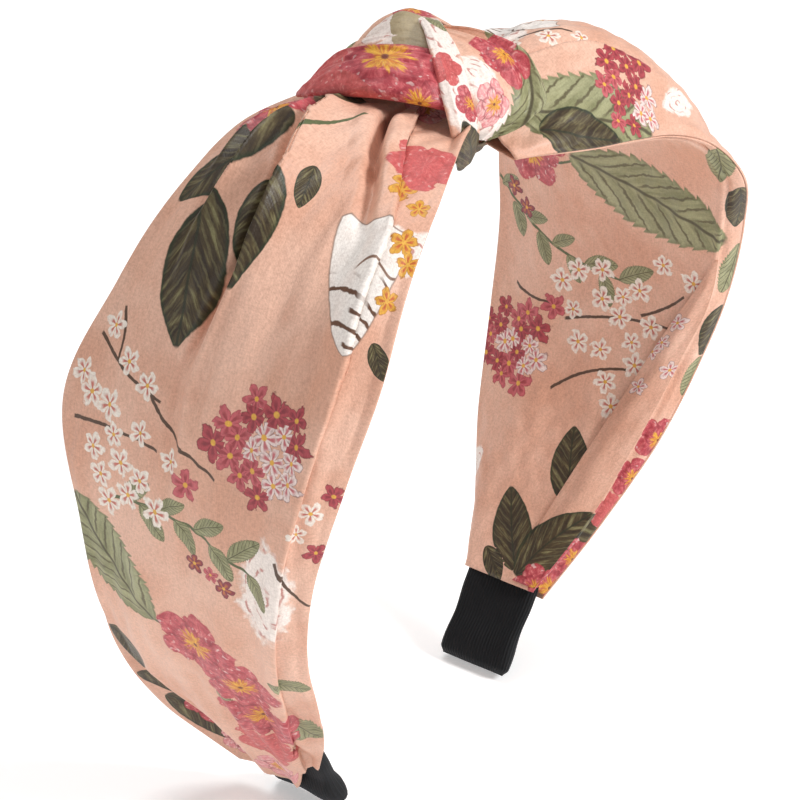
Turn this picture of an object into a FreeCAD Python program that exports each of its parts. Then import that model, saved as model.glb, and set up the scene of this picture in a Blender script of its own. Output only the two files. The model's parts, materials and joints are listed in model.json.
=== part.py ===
import FreeCAD, Part
import os
import math

V = FreeCAD.Vector
os.makedirs("parts", exist_ok=True)

# ---------------------------------------------------------------------------
# Knotted fabric headband, stored standing on its two tips.
# +Z up (tips to crown), X from ear to ear (left limb at -X), Y along the
# band's width (-Y is the front edge).  Origin: centre of the base.  All mm.
# ---------------------------------------------------------------------------

# core centreline of one half, from the crown down: (radius, turn in degrees)
CROWN_Z = 151.3
SHIFT_X = 0.4          # moves the core so that the origin is the centre of the whole base
SHIFT_Y = 2.6
ARCS = ((170.0, 13.5), (34.0, 46.0), (79.5, 61.5))
TIP_STRAIGHT = 57.0

CORE_W = 16.0
CORE_T = 1.6
FLEX_S = 30.0          # where the limbs flex, measured along the core from the crown
FLEX_GAP = 0.2         # half of the gap between the crown and a limb
FLEX_N = 13.0          # flex axis height over the core, above every ply it crosses

SLEEVE_W = 18.4        # ribbon sleeve over each tip
SLEEVE_T = 3.8
SLEEVE_TOP_S = 185.0
POCKET_GAP = 0.2

PLY = 0.8              # thickness of one fabric ply with its interfacing
GAP = 0.35             # clearance between plies


def arc_length():
    return sum(r * math.radians(a) for r, a in ARCS) + TIP_STRAIGHT


HALF_LENGTH = arc_length()


def arch(s):
    """Point on the core centreline and its slope at length s from the crown."""
    x, z, slope = 0.0, CROWN_Z, 0.0
    for radius, turn in ARCS:
        run = min(s, radius * math.radians(turn))
        after = slope + run / radius
        x += radius * (math.sin(after) - math.sin(slope))
        z += radius * (math.cos(after) - math.cos(slope))
        slope = after
        s -= run
        if s <= 1e-9:
            return x, z, slope
    return x + s * math.cos(slope), z - s * math.sin(slope), slope


def place(side, s, y, n):
    """Point n outside the core, y across the band, at length s on one side."""
    if s < 0:
        side, s = -side, -s
    x, z, slope = arch(s)
    return V(side * (x + n * math.sin(slope)), y, z + n * math.cos(slope))


def ply_wire(side, s, line, thick):
    """Closed outline of one ply's cross-section, along a (y, n) line."""
    over, under = [], []
    for i, (y, n) in enumerate(line):
        a = line[max(i - 1, 0)]
        b = line[min(i + 1, len(line) - 1)]
        dy, dn = b[0] - a[0], b[1] - a[1]
        size = math.hypot(dy, dn)
        ny, nn = -dn / size * thick / 2, dy / size * thick / 2
        if nn < 0:
            ny, nn = -ny, -nn
        over.append(place(side, s, y + ny, n + nn))
        under.append(place(side, s, y - ny, n - nn))
    under.reverse()
    curves = []
    for points in (over, under):
        curve = Part.BSplineCurve()
        curve.interpolate(points)
        curves.append(curve.toShape())
    ends = [Part.makeLine(over[-1], under[0]), Part.makeLine(under[-1], over[0])]
    return Part.Wire([curves[0], ends[0], curves[1], ends[1]])


def ply(side, rows, thick=PLY):
    """Solid ply lofted through rows of (s, cross-section line)."""
    return Part.makeLoft([ply_wire(side, s, line, thick) for s, line in rows], True, False)


def strip(side, s0, s1, y0, y1, n0, n1, steps=24):
    """Band of constant section that follows the core from s0 to s1."""
    upper = [place(side, s0 + (s1 - s0) * i / steps, y0, n1) for i in range(steps + 1)]
    lower = [place(side, s0 + (s1 - s0) * i / steps, y0, n0) for i in range(steps, -1, -1)]
    curves = []
    for points in (upper, lower):
        curve = Part.BSplineCurve()
        curve.interpolate(points)
        curves.append(curve.toShape())
    wire = Part.Wire([curves[0], Part.makeLine(upper[-1], lower[0]),
                      curves[1], Part.makeLine(lower[-1], upper[0])])
    return Part.Face(wire).extrude(V(0, y1 - y0, 0))


def strand(points, sizes, flat_dir, grow=0.0):
    """Flattened roll of fabric through points; sizes are (half width, half height)."""
    wires = []
    for i, p in enumerate(points):
        a = points[max(i - 1, 0)]
        b = points[min(i + 1, len(points) - 1)]
        along = (V(*b) - V(*a)).normalize()
        wide = V(*flat_dir)
        wide = (wide - along * wide.dot(along)).normalize()
        high = along.cross(wide)
        w, h = sizes[i][0] + grow, sizes[i][1] + grow
        start = V(*p) + wide * w
        rim = Part.Ellipse(start, V(*p) + high * h, V(*p)) if w > h else Part.Circle(V(*p), along, w)
        wires.append(Part.Wire([rim.toShape()]))
    return Part.makeLoft(wires, True, False)


nodes = {}

# --- core: one moulded strip, stored as three lengths that meet at the flex lines
CROWN_END = FLEX_S - FLEX_GAP
LIMB_START = FLEX_S + FLEX_GAP
CORE_END = HALF_LENGTH - 3.0
core_section = (-CORE_W / 2, CORE_W / 2, -CORE_T / 2, CORE_T / 2)
nodes["core_crown"] = strip(1, -CROWN_END, CROWN_END, *core_section)
for name, side in (("left", -1), ("right", 1)):
    nodes[name + "_core"] = strip(side, LIMB_START, CORE_END, *core_section)

# --- ribbon sleeves folded over the tips, cut flat where they stand
FLOOR = Part.makeBox(400, 400, 100, V(-200, -200, -100))
for name, side in (("left", -1), ("right", 1)):
    sleeve = strip(side, SLEEVE_TOP_S, HALF_LENGTH + 4, -SLEEVE_W / 2, SLEEVE_W / 2,
                   -SLEEVE_T / 2, SLEEVE_T / 2)
    edges = [e for e in sleeve.Edges if e.Length > 20]
    sleeve = sleeve.makeFillet(0.9, edges)
    pocket = strip(side, SLEEVE_TOP_S - 1, CORE_END + POCKET_GAP,
                   -CORE_W / 2 - POCKET_GAP, CORE_W / 2 + POCKET_GAP,
                   -CORE_T / 2 - POCKET_GAP, CORE_T / 2 + POCKET_GAP)
    nodes[name + "_tip_sleeve"] = sleeve.cut(pocket).cut(FLOOR)

# --- left limb: puffed outer panel, front strip past its crease, inner lining
# rows: s, back (y, n), crown of the panel n, crease (y, n), front (y, n)
LEFT = (
    (LIMB_START, (24, 3), 10, (-13, 9.5), (-24, 7)),
    (50, (23.5, 4), 9.5, (-25, 9), (-31, 5.5)),
    (72, (27, 5.5), 8.5, (-29, 8), (-34, 3)),
    (95, (33, 6.5), 8, (-26, 7), (-30.5, 0.8)),
    (120, (28.5, 6), 7, (-21, 6.3), (-24, 0.6)),
    (145, (28, 6), 6.5, (-16, 5.6), (-19, 0.6)),
    (168, (25, 5.6), 6, (-10, 5), (-15, 0.6)),
    (184, (18, 4.6), 4.8, (-6.5, 4.6), (-12, 0.8)),
)
LEFT_END = (203, (10.2, 3), 3.2, (-3, 3.2))


def left_panel(back, top, crease):
    return [back, (back[0] / 2, (back[1] + top) / 2 + 0.4), (0, top), crease]


outer_rows = [(s, left_panel(b, top, c)) for s, b, top, c, f in LEFT]
outer_rows.append((LEFT_END[0], left_panel(*LEFT_END[1:])))
nodes["left_outer_panel"] = ply(-1, outer_rows)


def left_strip(crease, front):
    a = (crease[0] - 0.6, crease[1] - PLY - GAP)
    b = (front[0], front[1])
    mid = ((a[0] + b[0]) / 2 - 0.5, (a[1] + b[1]) / 2 + 0.5)
    return [a, mid, b]


nodes["left_front_strip"] = ply(-1, [(s, left_strip(c, f)) for s, b, top, c, f in LEFT])

# rows: s, back (y, n), front (y, n); the lining runs under the core between them
LEFT_LINING = (
    (LIMB_START, (23.5, 1.6), (-23.5, 5.6)),
    (50, (23, 2.6), (-30.5, 4.2)),
    (72, (26.5, 4.1), (-33.5, 1.6)),
    (95, (32.5, 5), (-30, -0.6)),
    (120, (28, 4.5), (-23.5, -0.8)),
    (145, (27.5, 4.3), (-18.7, -0.9)),
    (168, (26, 3.2), (-14.8, -1)),
    (189, (18, 0.4), (-11.5, -1.8)),
)
UNDER_CORE = ((10.5, -2.3), (0, -2.7), (-10.5, -2.4))


def lining(back, front):
    return [back, *UNDER_CORE, front]


nodes["left_lining"] = ply(-1, [(s, lining(b, f)) for s, b, f in LEFT_LINING])

# folded-back margin that shows past the outer panel's edge near the tip
LEFT_FOLD = (
    (156, (28.5, 4.9), (19, 4.9)),
    (172, (28.5, 4.6), (17.5, 4.2)),
    (186, (22.5, 3), (13, 2.9)),
    (197, (15, 1.9), (11, 1.6)),
)
nodes["left_back_fold"] = ply(-1, [(s, [a, ((a[0] + b[0]) / 2, (a[1] + b[1]) / 2), b])
                                   for s, a, b in LEFT_FOLD], 0.6)

# --- right limb: outer panel, edge strip, lining, and the inner fold beside its front
# rows: s, back (y, n), top (y, n), front (y, n), lining back (y, n), lining front (y, n)
RIGHT = (
    (LIMB_START, (15, 0.8), (-8, 10.5), (-30.5, -6), (14.5, -0.6), (-29, -7.4)),
    (46, (16, 1.2), (-8, 10.5), (-31.5, -6), (15.5, -0.2), (-30, -7.4)),
    (60, (19, 1.6), (-8, 9.5), (-35, -3.5), (18.5, 0.2), (-32, -5)),
    (76, (24, 2), (-7, 8.5), (-38, 0), (23.5, 0.6), (-34.5, -2.4)),
    (92, (28, 2.2), (-4, 7.5), (-35, 3), (27.5, 0.8), (-32, -1.8)),
    (110, (27.5, 2), (-2, 6.5), (-32, 3.2), (27, 0.6), (-30, -1.8)),
    (130, (26.5, 2), (0, 5.5), (-27.5, 2.8), (26, 0.6), (-25, -2)),
    (152, (22.5, 2), (0, 4.5), (-22.5, 2), (22, 0.6), (-20, -2)),
    (172, (16.5, 2.2), (0, 3.8), (-17, 1.9), (16, 0.4), (-15.5, -2.2)),
    (188, (10.6, 2.9), (0, 3.2), (-10.6, 2.7), (10.8, -1.6), (-11, -2.2)),
)


def domed(back, top, front):
    return [back, ((back[0] + top[0]) * 0.5, back[1] + 0.72 * (top[1] - back[1])), top,
            ((front[0] + top[0]) * 0.5, front[1] + 0.72 * (top[1] - front[1])), front]


nodes["right_outer_panel"] = ply(1, [(s, domed(b, t, f)) for s, b, t, f, lb, lf in RIGHT])
nodes["right_lining"] = ply(1, [(s, lining(lb, lf)) for s, b, t, f, lb, lf in RIGHT])

edge_rows = []
for s, b, t, f, lb, lf in RIGHT[3:-1]:
    a = (f[0] - 0.1, f[1] - PLY - 0.3)
    c = (lf[0] - 1.3, lf[1] + 0.1)
    edge_rows.append((s, [a, ((a[0] + c[0]) / 2 - 0.3, (a[1] + c[1]) / 2 - 0.3), c]))
nodes["right_edge_strip"] = ply(1, edge_rows, 0.5)

RIGHT_FOLD = (
    (112, (-24.5, -3.9), (-29, -3.3)),
    (124, (-18.5, -4.1), (-26, -3.4)),
    (138, (-14.5, -4.1), (-22.5, -3.5)),
    (152, (-11, -4.2), (-19.5, -3.6)),
    (166, (-8, -4.2), (-16.5, -3.7)),
    (182, (-6, -4.3), (-12.5, -3.9)),
)
nodes["right_inner_fold"] = ply(1, [(s, [a, ((a[0] + b[0]) / 2, (a[1] + b[1]) / 2 - 0.1), b])
                                    for s, a, b in RIGHT_FOLD], 0.6)

# --- crown: gathered ply left of the knot, domed ply right of it, lining below
GATHER = (
    (-CROWN_END, (24, 3), (12, 8), (0, 10), (-12, 9.5), (-24, 7)),
    (-17, (17, 4), (9, 6.6), (0, 7.4), (-9, 7), (-17, 5)),
    (-5, (13, 3), (7, 4), (0, 4.4), (-7, 4.2), (-13, 3)),
)
nodes["crown_gather"] = ply(1, [(s, list(line)) for s, *line in GATHER])
CROWN_RIGHT = (
    (6, (13.5, 0.5), (-6, 4), (-26, -4.5)),
    (18, (14, 0.6), (-7, 7), (-29.5, -5.5)),
    (CROWN_END, (15, 0.8), (-8, 10.5), (-30.5, -6)),
)
nodes["crown_right_panel"] = ply(1, [(s, domed(b, t, f)) for s, b, t, f in CROWN_RIGHT])
CROWN_LINING = (
    (-CROWN_END, (23.5, 1.6), (-23.5, 5.6)),
    (-15, (17, 0.2), (-17, 1)),
    (0, (14, -0.6), (-14, -1.5)),
    (15, (14.2, -0.6), (-21, -5)),
    (CROWN_END, (14.5, -0.6), (-29, -7.4)),
)
nodes["crown_lining"] = ply(1, [(s, lining(b, f)) for s, b, f in CROWN_LINING])

# --- knot: rolls of the same fabric; each is trimmed clear of the ones before it
KNOT_GAP = 0.25
KNOT = (
    ("knot_core_roll", (0.6, 0, 1),
     ((-3, 15, 157), (-3, 8, 159), (-3, 0, 160), (-3, -8, 158), (-4, -13, 155)),
     ((4, 2.5), (6, 3.4), (7, 3.6), (6, 3.2), (4, 2.2))),
    ("knot_front_wrap", (-0.75, 0, 0.65),
     ((-20, 19.5, 154), (-17, 15, 158), (-14.5, 8, 161), (-13, 1, 162), (-10.5, -5, 160),
      (-7, -9, 156)),
     ((2.5, 1.6), (5.5, 2.8), (7.2, 3.4), (7.4, 3.4), (6, 3), (4, 2.2))),
    ("knot_cross_wrap", (0.95, 0.2, 0.1),
     ((3, 6, 168), (-3.5, -3.5, 167), (-9.5, -11.5, 161.5), (-12.5, -15.8, 155),
      (-12.5, -16.5, 149)),
     ((4.5, 1.8), (5, 2.2), (4.8, 2.2), (4.6, 1.8), (4, 1.4))),
    ("knot_top_lobe", (0.8, 0, -0.6),
     ((2, 20, 154.5), (3, 16.5, 161), (3, 10, 165.5), (0, 3, 166)),
     ((5.5, 2), (6.5, 3), (5.5, 3), (3.5, 2))),
    ("knot_fan_lobe", (0.75, 0.6, -0.1),
     ((3, 1, 165), (6.5, -6, 162.5), (9.5, -12.5, 157.5), (11, -17, 151.5)),
     ((4.5, 1.8), (8, 2.6), (11, 2.6), (10.5, 1.6))),
    ("knot_under_wrap", (1, 0, 0),
     ((-6, -15, 148.6), (-4, -9.5, 145.9), (-3, 0, 145.6), (-3, 9.5, 145.9), (-4, 16, 148.8)),
     ((5, 0.7), (6.5, 0.9), (7, 0.9), (6.5, 0.9), (5, 0.7))),
    ("knot_tail", (0.2, 0.3, 1),
     ((-14, -16.8, 147.6), (-16, -16.6, 146), (-19, -16, 144)),
     ((2.4, 0.6), (1.8, 0.5), (0.5, 0.3))),
)
fixed_under_knot = ("crown_gather", "crown_right_panel", "crown_lining", "core_crown")
trims = [nodes[name] for name in fixed_under_knot]
for name, flat_dir, points, sizes in KNOT:
    roll = strand(points, sizes, flat_dir)
    for other in trims:
        roll = roll.cut(other)
    roll = max(roll.Solids, key=lambda solid: solid.Volume)
    nodes[name] = roll
    trims.append(strand(points, sizes, flat_dir, KNOT_GAP))

for name, shape in nodes.items():
    shape.translate(V(SHIFT_X, SHIFT_Y, 0))
    shape.exportStep("parts/" + name + ".step")
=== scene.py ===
import bpy
import json
import math
import numpy as np
from mathutils import Matrix, Vector

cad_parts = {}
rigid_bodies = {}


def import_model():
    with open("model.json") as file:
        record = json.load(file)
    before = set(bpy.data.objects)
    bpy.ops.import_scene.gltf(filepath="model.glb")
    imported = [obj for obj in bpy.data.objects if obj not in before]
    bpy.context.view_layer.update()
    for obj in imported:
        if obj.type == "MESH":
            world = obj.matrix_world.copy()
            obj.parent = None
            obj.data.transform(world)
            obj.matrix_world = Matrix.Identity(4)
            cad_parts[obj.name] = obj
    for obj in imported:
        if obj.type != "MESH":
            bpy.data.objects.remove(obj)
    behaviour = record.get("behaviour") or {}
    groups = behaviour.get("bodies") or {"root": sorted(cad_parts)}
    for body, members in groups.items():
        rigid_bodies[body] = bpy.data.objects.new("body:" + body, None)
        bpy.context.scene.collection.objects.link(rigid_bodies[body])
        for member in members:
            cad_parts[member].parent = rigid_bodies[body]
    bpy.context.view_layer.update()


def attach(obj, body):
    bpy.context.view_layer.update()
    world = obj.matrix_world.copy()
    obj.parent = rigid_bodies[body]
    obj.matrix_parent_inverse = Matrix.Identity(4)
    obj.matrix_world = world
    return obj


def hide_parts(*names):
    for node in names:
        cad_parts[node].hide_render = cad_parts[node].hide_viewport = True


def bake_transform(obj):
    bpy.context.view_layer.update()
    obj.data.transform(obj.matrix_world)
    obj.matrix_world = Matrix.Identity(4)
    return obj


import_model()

MM = 0.001          # every shape below is worked out in mm; meshes are in metres

# --- The band's centreline: tangent arcs from the crown down, in mm ---
CROWN_Z = 151.3
ARCS = ((170.0, 13.5), (34.0, 46.0), (79.5, 61.5))
TIP_STRAIGHT = 57.0
SHIFT = (0.4, 2.6)
HALF_LENGTH = sum(r * math.radians(a) for r, a in ARCS) + TIP_STRAIGHT


def arch(s):
    """x, z and slope of the centreline at lengths s (array) from the crown."""
    s = np.asarray(s, float)
    x = np.zeros_like(s)
    z = np.full_like(s, CROWN_Z)
    slope = np.zeros_like(s)
    left = s.copy()
    for radius, turn in ARCS:
        run = np.clip(left, 0, radius * math.radians(turn))
        after = slope + run / radius
        x += radius * (np.sin(after) - np.sin(slope))
        z += radius * (np.cos(after) - np.cos(slope))
        slope = after
        left = left - run
    left = np.maximum(left, 0)
    return x + left * np.cos(slope), z - left * np.sin(slope), slope


def place(side, s, y, n):
    """Points (..., 3) in mm: n outside the core, y across, s along one side."""
    s = np.asarray(s, float)
    flip = np.where(s < 0, -side, side)
    x, z, slope = arch(np.abs(s))
    return np.stack([flip * (x + n * np.sin(slope)) + SHIFT[0], y + SHIFT[1],
                     z + n * np.cos(slope)], -1)


def hermite(xs, ys, x):
    """Smooth interpolation of columns ys over xs, through every knot."""
    xs = np.asarray(xs, float)
    ys = np.asarray(ys, float)
    x = np.clip(x, xs[0], xs[-1])
    h = np.diff(xs)
    d = np.diff(ys, axis=0) / h.reshape(-1, *([1] * (ys.ndim - 1)))
    m = np.zeros_like(ys)
    m[0], m[-1] = d[0], d[-1]
    for i in range(1, len(xs) - 1):
        m[i] = (d[i - 1] * h[i] + d[i] * h[i - 1]) / (h[i - 1] + h[i])
    i = np.clip(np.searchsorted(xs, x, side="right") - 1, 0, len(xs) - 2)
    t = ((x - xs[i]) / h[i]).reshape(-1, *([1] * (ys.ndim - 1)))
    hh = h[i].reshape(t.shape)
    t2, t3 = t * t, t * t * t
    return ((2 * t3 - 3 * t2 + 1) * ys[i] + (t3 - 2 * t2 + t) * hh * m[i]
            + (3 * t2 - 2 * t3) * ys[i + 1] + (t3 - t2) * hh * m[i + 1])


def bump(t):
    """Smooth bell, 1 at 0 and 0 at +-1."""
    t = np.clip(np.abs(t), 0, 1)
    return (1 - t * t) ** 2


def ease(a, b, x):
    t = np.clip((np.asarray(x, float) - a) / (b - a), 0, 1)
    return t * t * (3 - 2 * t)


def ripples(u, v, seed, waves, size):
    """Soft random folds: a sum of seeded sine waves over the cloth (u, v) in mm."""
    rng = np.random.default_rng(seed)
    total = np.zeros(np.broadcast(u, v).shape)
    for _ in range(waves):
        angle = rng.uniform(-0.9, 0.9)
        k = 2 * math.pi / (size * rng.uniform(0.6, 1.6))
        total = total + np.sin(k * (v * math.cos(angle) + u * math.sin(angle)) + rng.uniform(0, 6.28))
    return total / math.sqrt(waves)


# --- Mesh helpers ---
def link(obj):
    bpy.context.scene.collection.objects.link(obj)
    return obj


def cloth_places(mesh):
    """Cloth (u, v) in mm of every vertex."""
    cloth = np.empty(len(mesh.vertices) * 3, np.float32)
    mesh.attributes["cloth"].data.foreach_get("vector", cloth)
    return cloth.reshape(-1, 3)[:, :2].astype(float)


def corner_vertices(mesh):
    index = np.empty(len(mesh.loops), np.int64)
    mesh.loops.foreach_get("vertex_index", index)
    return index


def grid_mesh(name, points, flat=None, wrap=False):
    """Quad grid from points (rows, columns, 3) in mm; flat holds cloth (u, v) in mm."""
    rows, cols = points.shape[:2]
    co = (points.reshape(-1, 3) * MM).astype(np.float32)
    i, j = np.meshgrid(np.arange(rows - 1), np.arange(cols if wrap else cols - 1), indexing="ij")
    j2 = (j + 1) % cols
    quads = np.stack([i * cols + j, (i + 1) * cols + j, (i + 1) * cols + j2, i * cols + j2], -1)
    mesh = bpy.data.meshes.new(name)
    mesh.from_pydata(co.tolist(), [], quads.reshape(-1, 4).tolist())
    mesh.polygons.foreach_set("use_smooth", [True] * len(mesh.polygons))
    obj = link(bpy.data.objects.new(name, mesh))
    if flat is not None:
        set_vectors(mesh, "cloth", "POINT", np.concatenate(
            [flat.reshape(-1, 2), np.zeros((rows * cols, 1))], 1))
        uv = mesh.uv_layers.new(name="UVMap")
        f = flat.reshape(-1, 2)
        uv.data.foreach_set("uv", ((f - f.min(0)) / (np.ptp(f, 0).max() + 1e-9))[corner_vertices(mesh)]
                            .astype(np.float32).ravel())
    mesh.update()
    return obj


def set_vectors(mesh, name, domain, values):
    layer = mesh.attributes.get(name) or mesh.attributes.new(name, "FLOAT_VECTOR", domain)
    layer.data.foreach_set("vector", np.asarray(values, np.float32).ravel())


def thicken(obj, thickness, offset=-1.0):
    mod = obj.modifiers.new("ply", "SOLIDIFY")
    mod.thickness = thickness * MM
    mod.offset = offset
    mod.use_even_offset = False
    return obj


def resample(points, count, sharp=()):
    """Even spacing along polylines (rows, k, d), smoothed between knots, with a column on each
    sharp knot."""
    k = points.shape[1]
    knots = [0, *sharp, k - 1]
    pieces, spans = [], []
    for a, b in zip(knots[:-1], knots[1:]):
        t = np.linspace(a, b, 96)
        seg = hermite(np.arange(a, b + 1), points[:, a:b + 1].transpose(1, 0, 2), t)
        pieces.append(seg.transpose(1, 0, 2))
        spans.append(np.linalg.norm(np.diff(pieces[-1], axis=1), axis=2).sum(1).mean())
    out, length = [], []
    for k, (dense, span) in enumerate(zip(pieces, spans)):
        n = max(3, round(count * span / sum(spans)))
        step = np.linalg.norm(np.diff(dense, axis=1), axis=2)
        run = np.concatenate([np.zeros((len(dense), 1)), np.cumsum(step, 1)], 1)
        part = np.empty((len(dense), n, dense.shape[2]))
        far = np.empty((len(dense), n))
        for r in range(len(dense)):
            t = np.linspace(0, run[r, -1], n)
            for c in range(dense.shape[2]):
                part[r, :, c] = np.interp(t, run[r], dense[r, :, c])
            far[r] = t + (length[-1][r, -1] if length else 0)
        out.append(part if k == 0 else part[:, 1:])
        length.append(far if k == 0 else far[:, 1:])
    return np.concatenate(out, 1), np.concatenate(length, 1)


def normals_of(grid):
    du = np.gradient(grid, axis=0)
    dv = np.gradient(grid, axis=1)
    n = np.cross(du, dv)
    return n / (np.linalg.norm(n, axis=2, keepdims=True) + 1e-12)


class Cloth:
    """A ply described by rows of (s, [(y, n), ...]) control points, from back to front."""

    def __init__(self, name, side, rows, count_s, count_v, sharp=(), lift=None, shift=None,
                 hem=None):
        self.name, self.side = name, side
        s_knots = [r[0] for r in rows]
        lines = np.array([r[1] for r in rows], float)
        s = np.linspace(s_knots[0], s_knots[-1], count_s)
        section, length = resample(hermite(s_knots, lines, s), count_v, sharp)
        y, n = section[..., 0], section[..., 1]
        zero = np.array([np.interp(0, -yy, ll) for yy, ll in zip(y, length)])
        count_v = section.shape[1]
        u = np.repeat(s[:, None], count_v, 1)
        v = zero[:, None] - length
        self.u, self.v, self.y = u, v, y
        self.s = s
        if hem is not None:
            u = hem(u, np.linspace(0, 1, count_v)[None])
        grid = place(side, u, y, n)
        if lift is not None:
            out = normals_of(grid)
            slope = arch(np.abs(u))[2]
            flip = np.where(u < 0, -side, side)
            core_out = np.stack([flip * np.sin(slope), 0 * slope, np.cos(slope)], -1)
            facing = np.sign((out * core_out).sum(2).mean())
            near = np.minimum(v.max(1, keepdims=True) - v, v - v.min(1, keepdims=True))
            grid = grid + out * facing * (lift(u, v, y) * ease(0, 2.2, near))[..., None]
        if shift is not None:
            grid[..., 1] += shift(u, v, y)
        self.grid = grid

    def spot(self, s, y):
        """Cloth (u, v) of the point at length s that lies y across."""
        r = int(np.clip(np.searchsorted(self.s, s), 0, len(self.s) - 1))
        return np.array([s, np.interp(-y, -self.y[r], self.v[r])])

    def build(self):
        self.obj = grid_mesh(self.name, self.grid, np.stack([self.u, self.v], -1))
        return self.obj


def fold_line(knots, s):
    return np.interp(s, [k[0] for k in knots], [k[1] for k in knots])


def pleat(s, y, line, height, width, fade, sharp=0.9):
    """A pressed pleat: steep on its back (+y) side, sloping away on the other."""
    d = y - fold_line(line, s)
    amp = height * (1 - ease(fade[0], fade[1], s))
    body = np.where(d <= 0, np.exp(np.minimum(d, 0) / width), 1 - ease(0, sharp, d))
    return amp * (body - 0.3 * bump((d - sharp - 0.9) / 1.8))


def overhang(s, y, line, reach, fade):
    """Sideways push that leans a pleat's crest out over its back side."""
    d = y - fold_line(line, s)
    amp = reach * (1 - ease(fade[0], fade[1], s))
    past = np.maximum(d, 0)
    return amp * np.where(d <= 0, np.exp(np.minimum(d, 0) / 2.5),
                          1.6 * np.exp(-past / 0.7) - 0.6 * np.exp(-past / 2.2))


# --- Left limb: outer panel that turns at the crease into the front strip ---
LEFT_ROWS = (
    (-1, ((15, 3), (8, 5.5), (0, 6), (-5, 6), (-13, 4.5))),
    (16, ((20, 3), (10.5, 7), (0, 8.4), (-6.5, 8.4), (-18, 5.8))),
    (30, ((24, 3), (12, 8), (0, 10), (-13, 9.5), (-24, 6.6))),
    (50, ((23.5, 4), (12, 8), (0, 9.5), (-25, 9), (-31, 5.0))),
    (72, ((27, 5.5), (13.5, 7.6), (0, 8.5), (-28.2, 8), (-34, 2.6))),
    (95, ((33, 6.5), (16.5, 7.8), (0, 8), (-25.2, 7), (-30.5, 0.8))),
    (120, ((28.5, 6), (14, 7), (0, 7), (-20, 6.3), (-24.5, 0.6))),
    (145, ((28.0, 6.0), (14, 6.8), (0, 6.5), (-15, 5.8), (-19.6, 0.6))),
    (158, ((27.0, 6.4), (13.6, 6.8), (0, 6.2), (-12.6, 5.4), (-17.4, 0.6))),
    (168, ((19.4, 6.8), (10.6, 6.7), (0, 6), (-10, 5.2), (-15.4, 0.6))),
    (176, ((13.0, 6.0), (7.2, 6.2), (0, 5.5), (-8.4, 5.0), (-14.4, 0.7))),
    (187, ((9.6, 5.0), (5.4, 5.2), (0, 4.7), (-6.0, 4.7), (-12.6, 0.9))),
    (203, ((8.6, 3.2), (4.2, 3.5), (0, 3.3), (-3.2, 3.2), (-9.4, 2.4))),
)
CREASE = tuple((s, row[3][0]) for s, row in LEFT_ROWS)
FOLD_B = ((5, 7), (19, 9), (31, 9.3), (41, 9.4), (49, 9.8), (60, 12))
FOLD_A = ((5, 4), (19, 6.2), (35, 3.2), (47, -1.2), (54, -2.2), (64, -2.8), (84, 2))
FOLD_D = ((5, 10), (19, 13), (27, 14.5), (38, 18))
GROOVE_C = ((5, -2), (22, -3.6), (35, -10), (44, -16), (56, -22))


def left_lift(u, v, y):
    held = 0.28 + 0.72 * ease(21, 44, u)
    flank = 0.35 + 0.65 * ease(21, 44, u)
    h = pleat(u, y, FOLD_B, 4.9, 2.6, (38, 78), 2.6 * flank) * held
    h = h + pleat(u, y, FOLD_A, 6.4, 3.8, (46, 116), 3.2 * flank) * held
    h = h + pleat(u, y, FOLD_D, 2.8, 2.0, (30, 54), 1.8 * flank) * held
    c = y - fold_line(GROOVE_C, u)
    h = h - 2.2 * (1 - ease(17, 30, u))
    deep = (1 - ease(30, 60, u)) * (0.4 + 0.6 * ease(16, 24, u))
    h = h - 4.6 * deep * bump(c / (1.1 + 0.04 * u))
    h = h + 1.3 * deep * bump((c + 3.0) / 2.6) + 0.7 * deep * bump((c - 3.4) / 3)
    # the strip lies a step below the panel's folded edge
    e = y - fold_line(CREASE, u)
    step = 1.6 * ease(6, 16, u) * (1 - 0.35 * ease(60, 110, u)) * (1 - ease(186, 200, u))
    h = h - step * np.where(e < 0, (1 - ease(-0.45, 0, e)) * np.exp(np.minimum(e, 0) / 4.5), 0)
    h = h + 0.35 * step * np.where(e >= 0, np.exp(-np.maximum(e, 0) / 1.6), 0)
    calm = ease(18, 60, u)
    h = h + 0.30 * calm * ripples(u * 0.35, v, 3, 5, 16)
    h = h + 0.16 * ripples(u * 0.6, v, 8, 6, 5)
    h = h + 0.5 * ease(146, 170, u) * ripples(u * 0.22, v * 1.3, 5, 4, 8) * (1 - ease(180, 194, u))
    # long drawn folds below the knot and a soft hollow beside the crease
    h = h + (0.8 * ease(46, 64, u) * (1 - ease(80, 112, u))
             * bump((y - np.interp(u, [46, 110], [-10, -2])) / 5))
    h = h - (0.7 * ease(50, 66, u) * (1 - ease(84, 116, u))
             * bump((y - np.interp(u, [46, 110], [-4, 6])) / 5))
    h = h - 0.9 * bump((e - 6.5) / 5) * ease(40, 60, u)
    return h


def left_shift(u, v, y):
    sway = overhang(u, y, FOLD_B, 0.9, (32, 60)) + overhang(u, y, FOLD_A, 1.0, (38, 88))
    sway = sway + overhang(u, y, FOLD_D, 0.6, (22, 44))
    e = y - fold_line(CREASE, u)
    lean = ease(6, 16, u) * (1 - ease(186, 200, u))
    return sway - 0.45 * lean * np.where(e >= 0, np.exp(-np.maximum(e, 0) / 1.2), 0)


HEM_SPAN = 18           # length over which the rows close up towards the hem


def slant(end, shorter):
    """Hem that ends at length end, shorter towards the front edge."""
    def hem(u, w):
        limit = end - shorter * ease(0.6, 1.0, w)
        start = limit - HEM_SPAN
        return np.where(u > start, start + (u - start) * (limit - start) / (end - start), u)
    return hem


PANEL_PLY, LINING_PLY, FOLD_PLY = 0.45, 0.4, 0.3
left_panel = Cloth("left_panel", -1, LEFT_ROWS, 340, 250, sharp=(3,), lift=left_lift,
                   shift=left_shift, hem=slant(LEFT_ROWS[-1][0], 13))
thicken(left_panel.build(), PANEL_PLY, 1.0)

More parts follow.
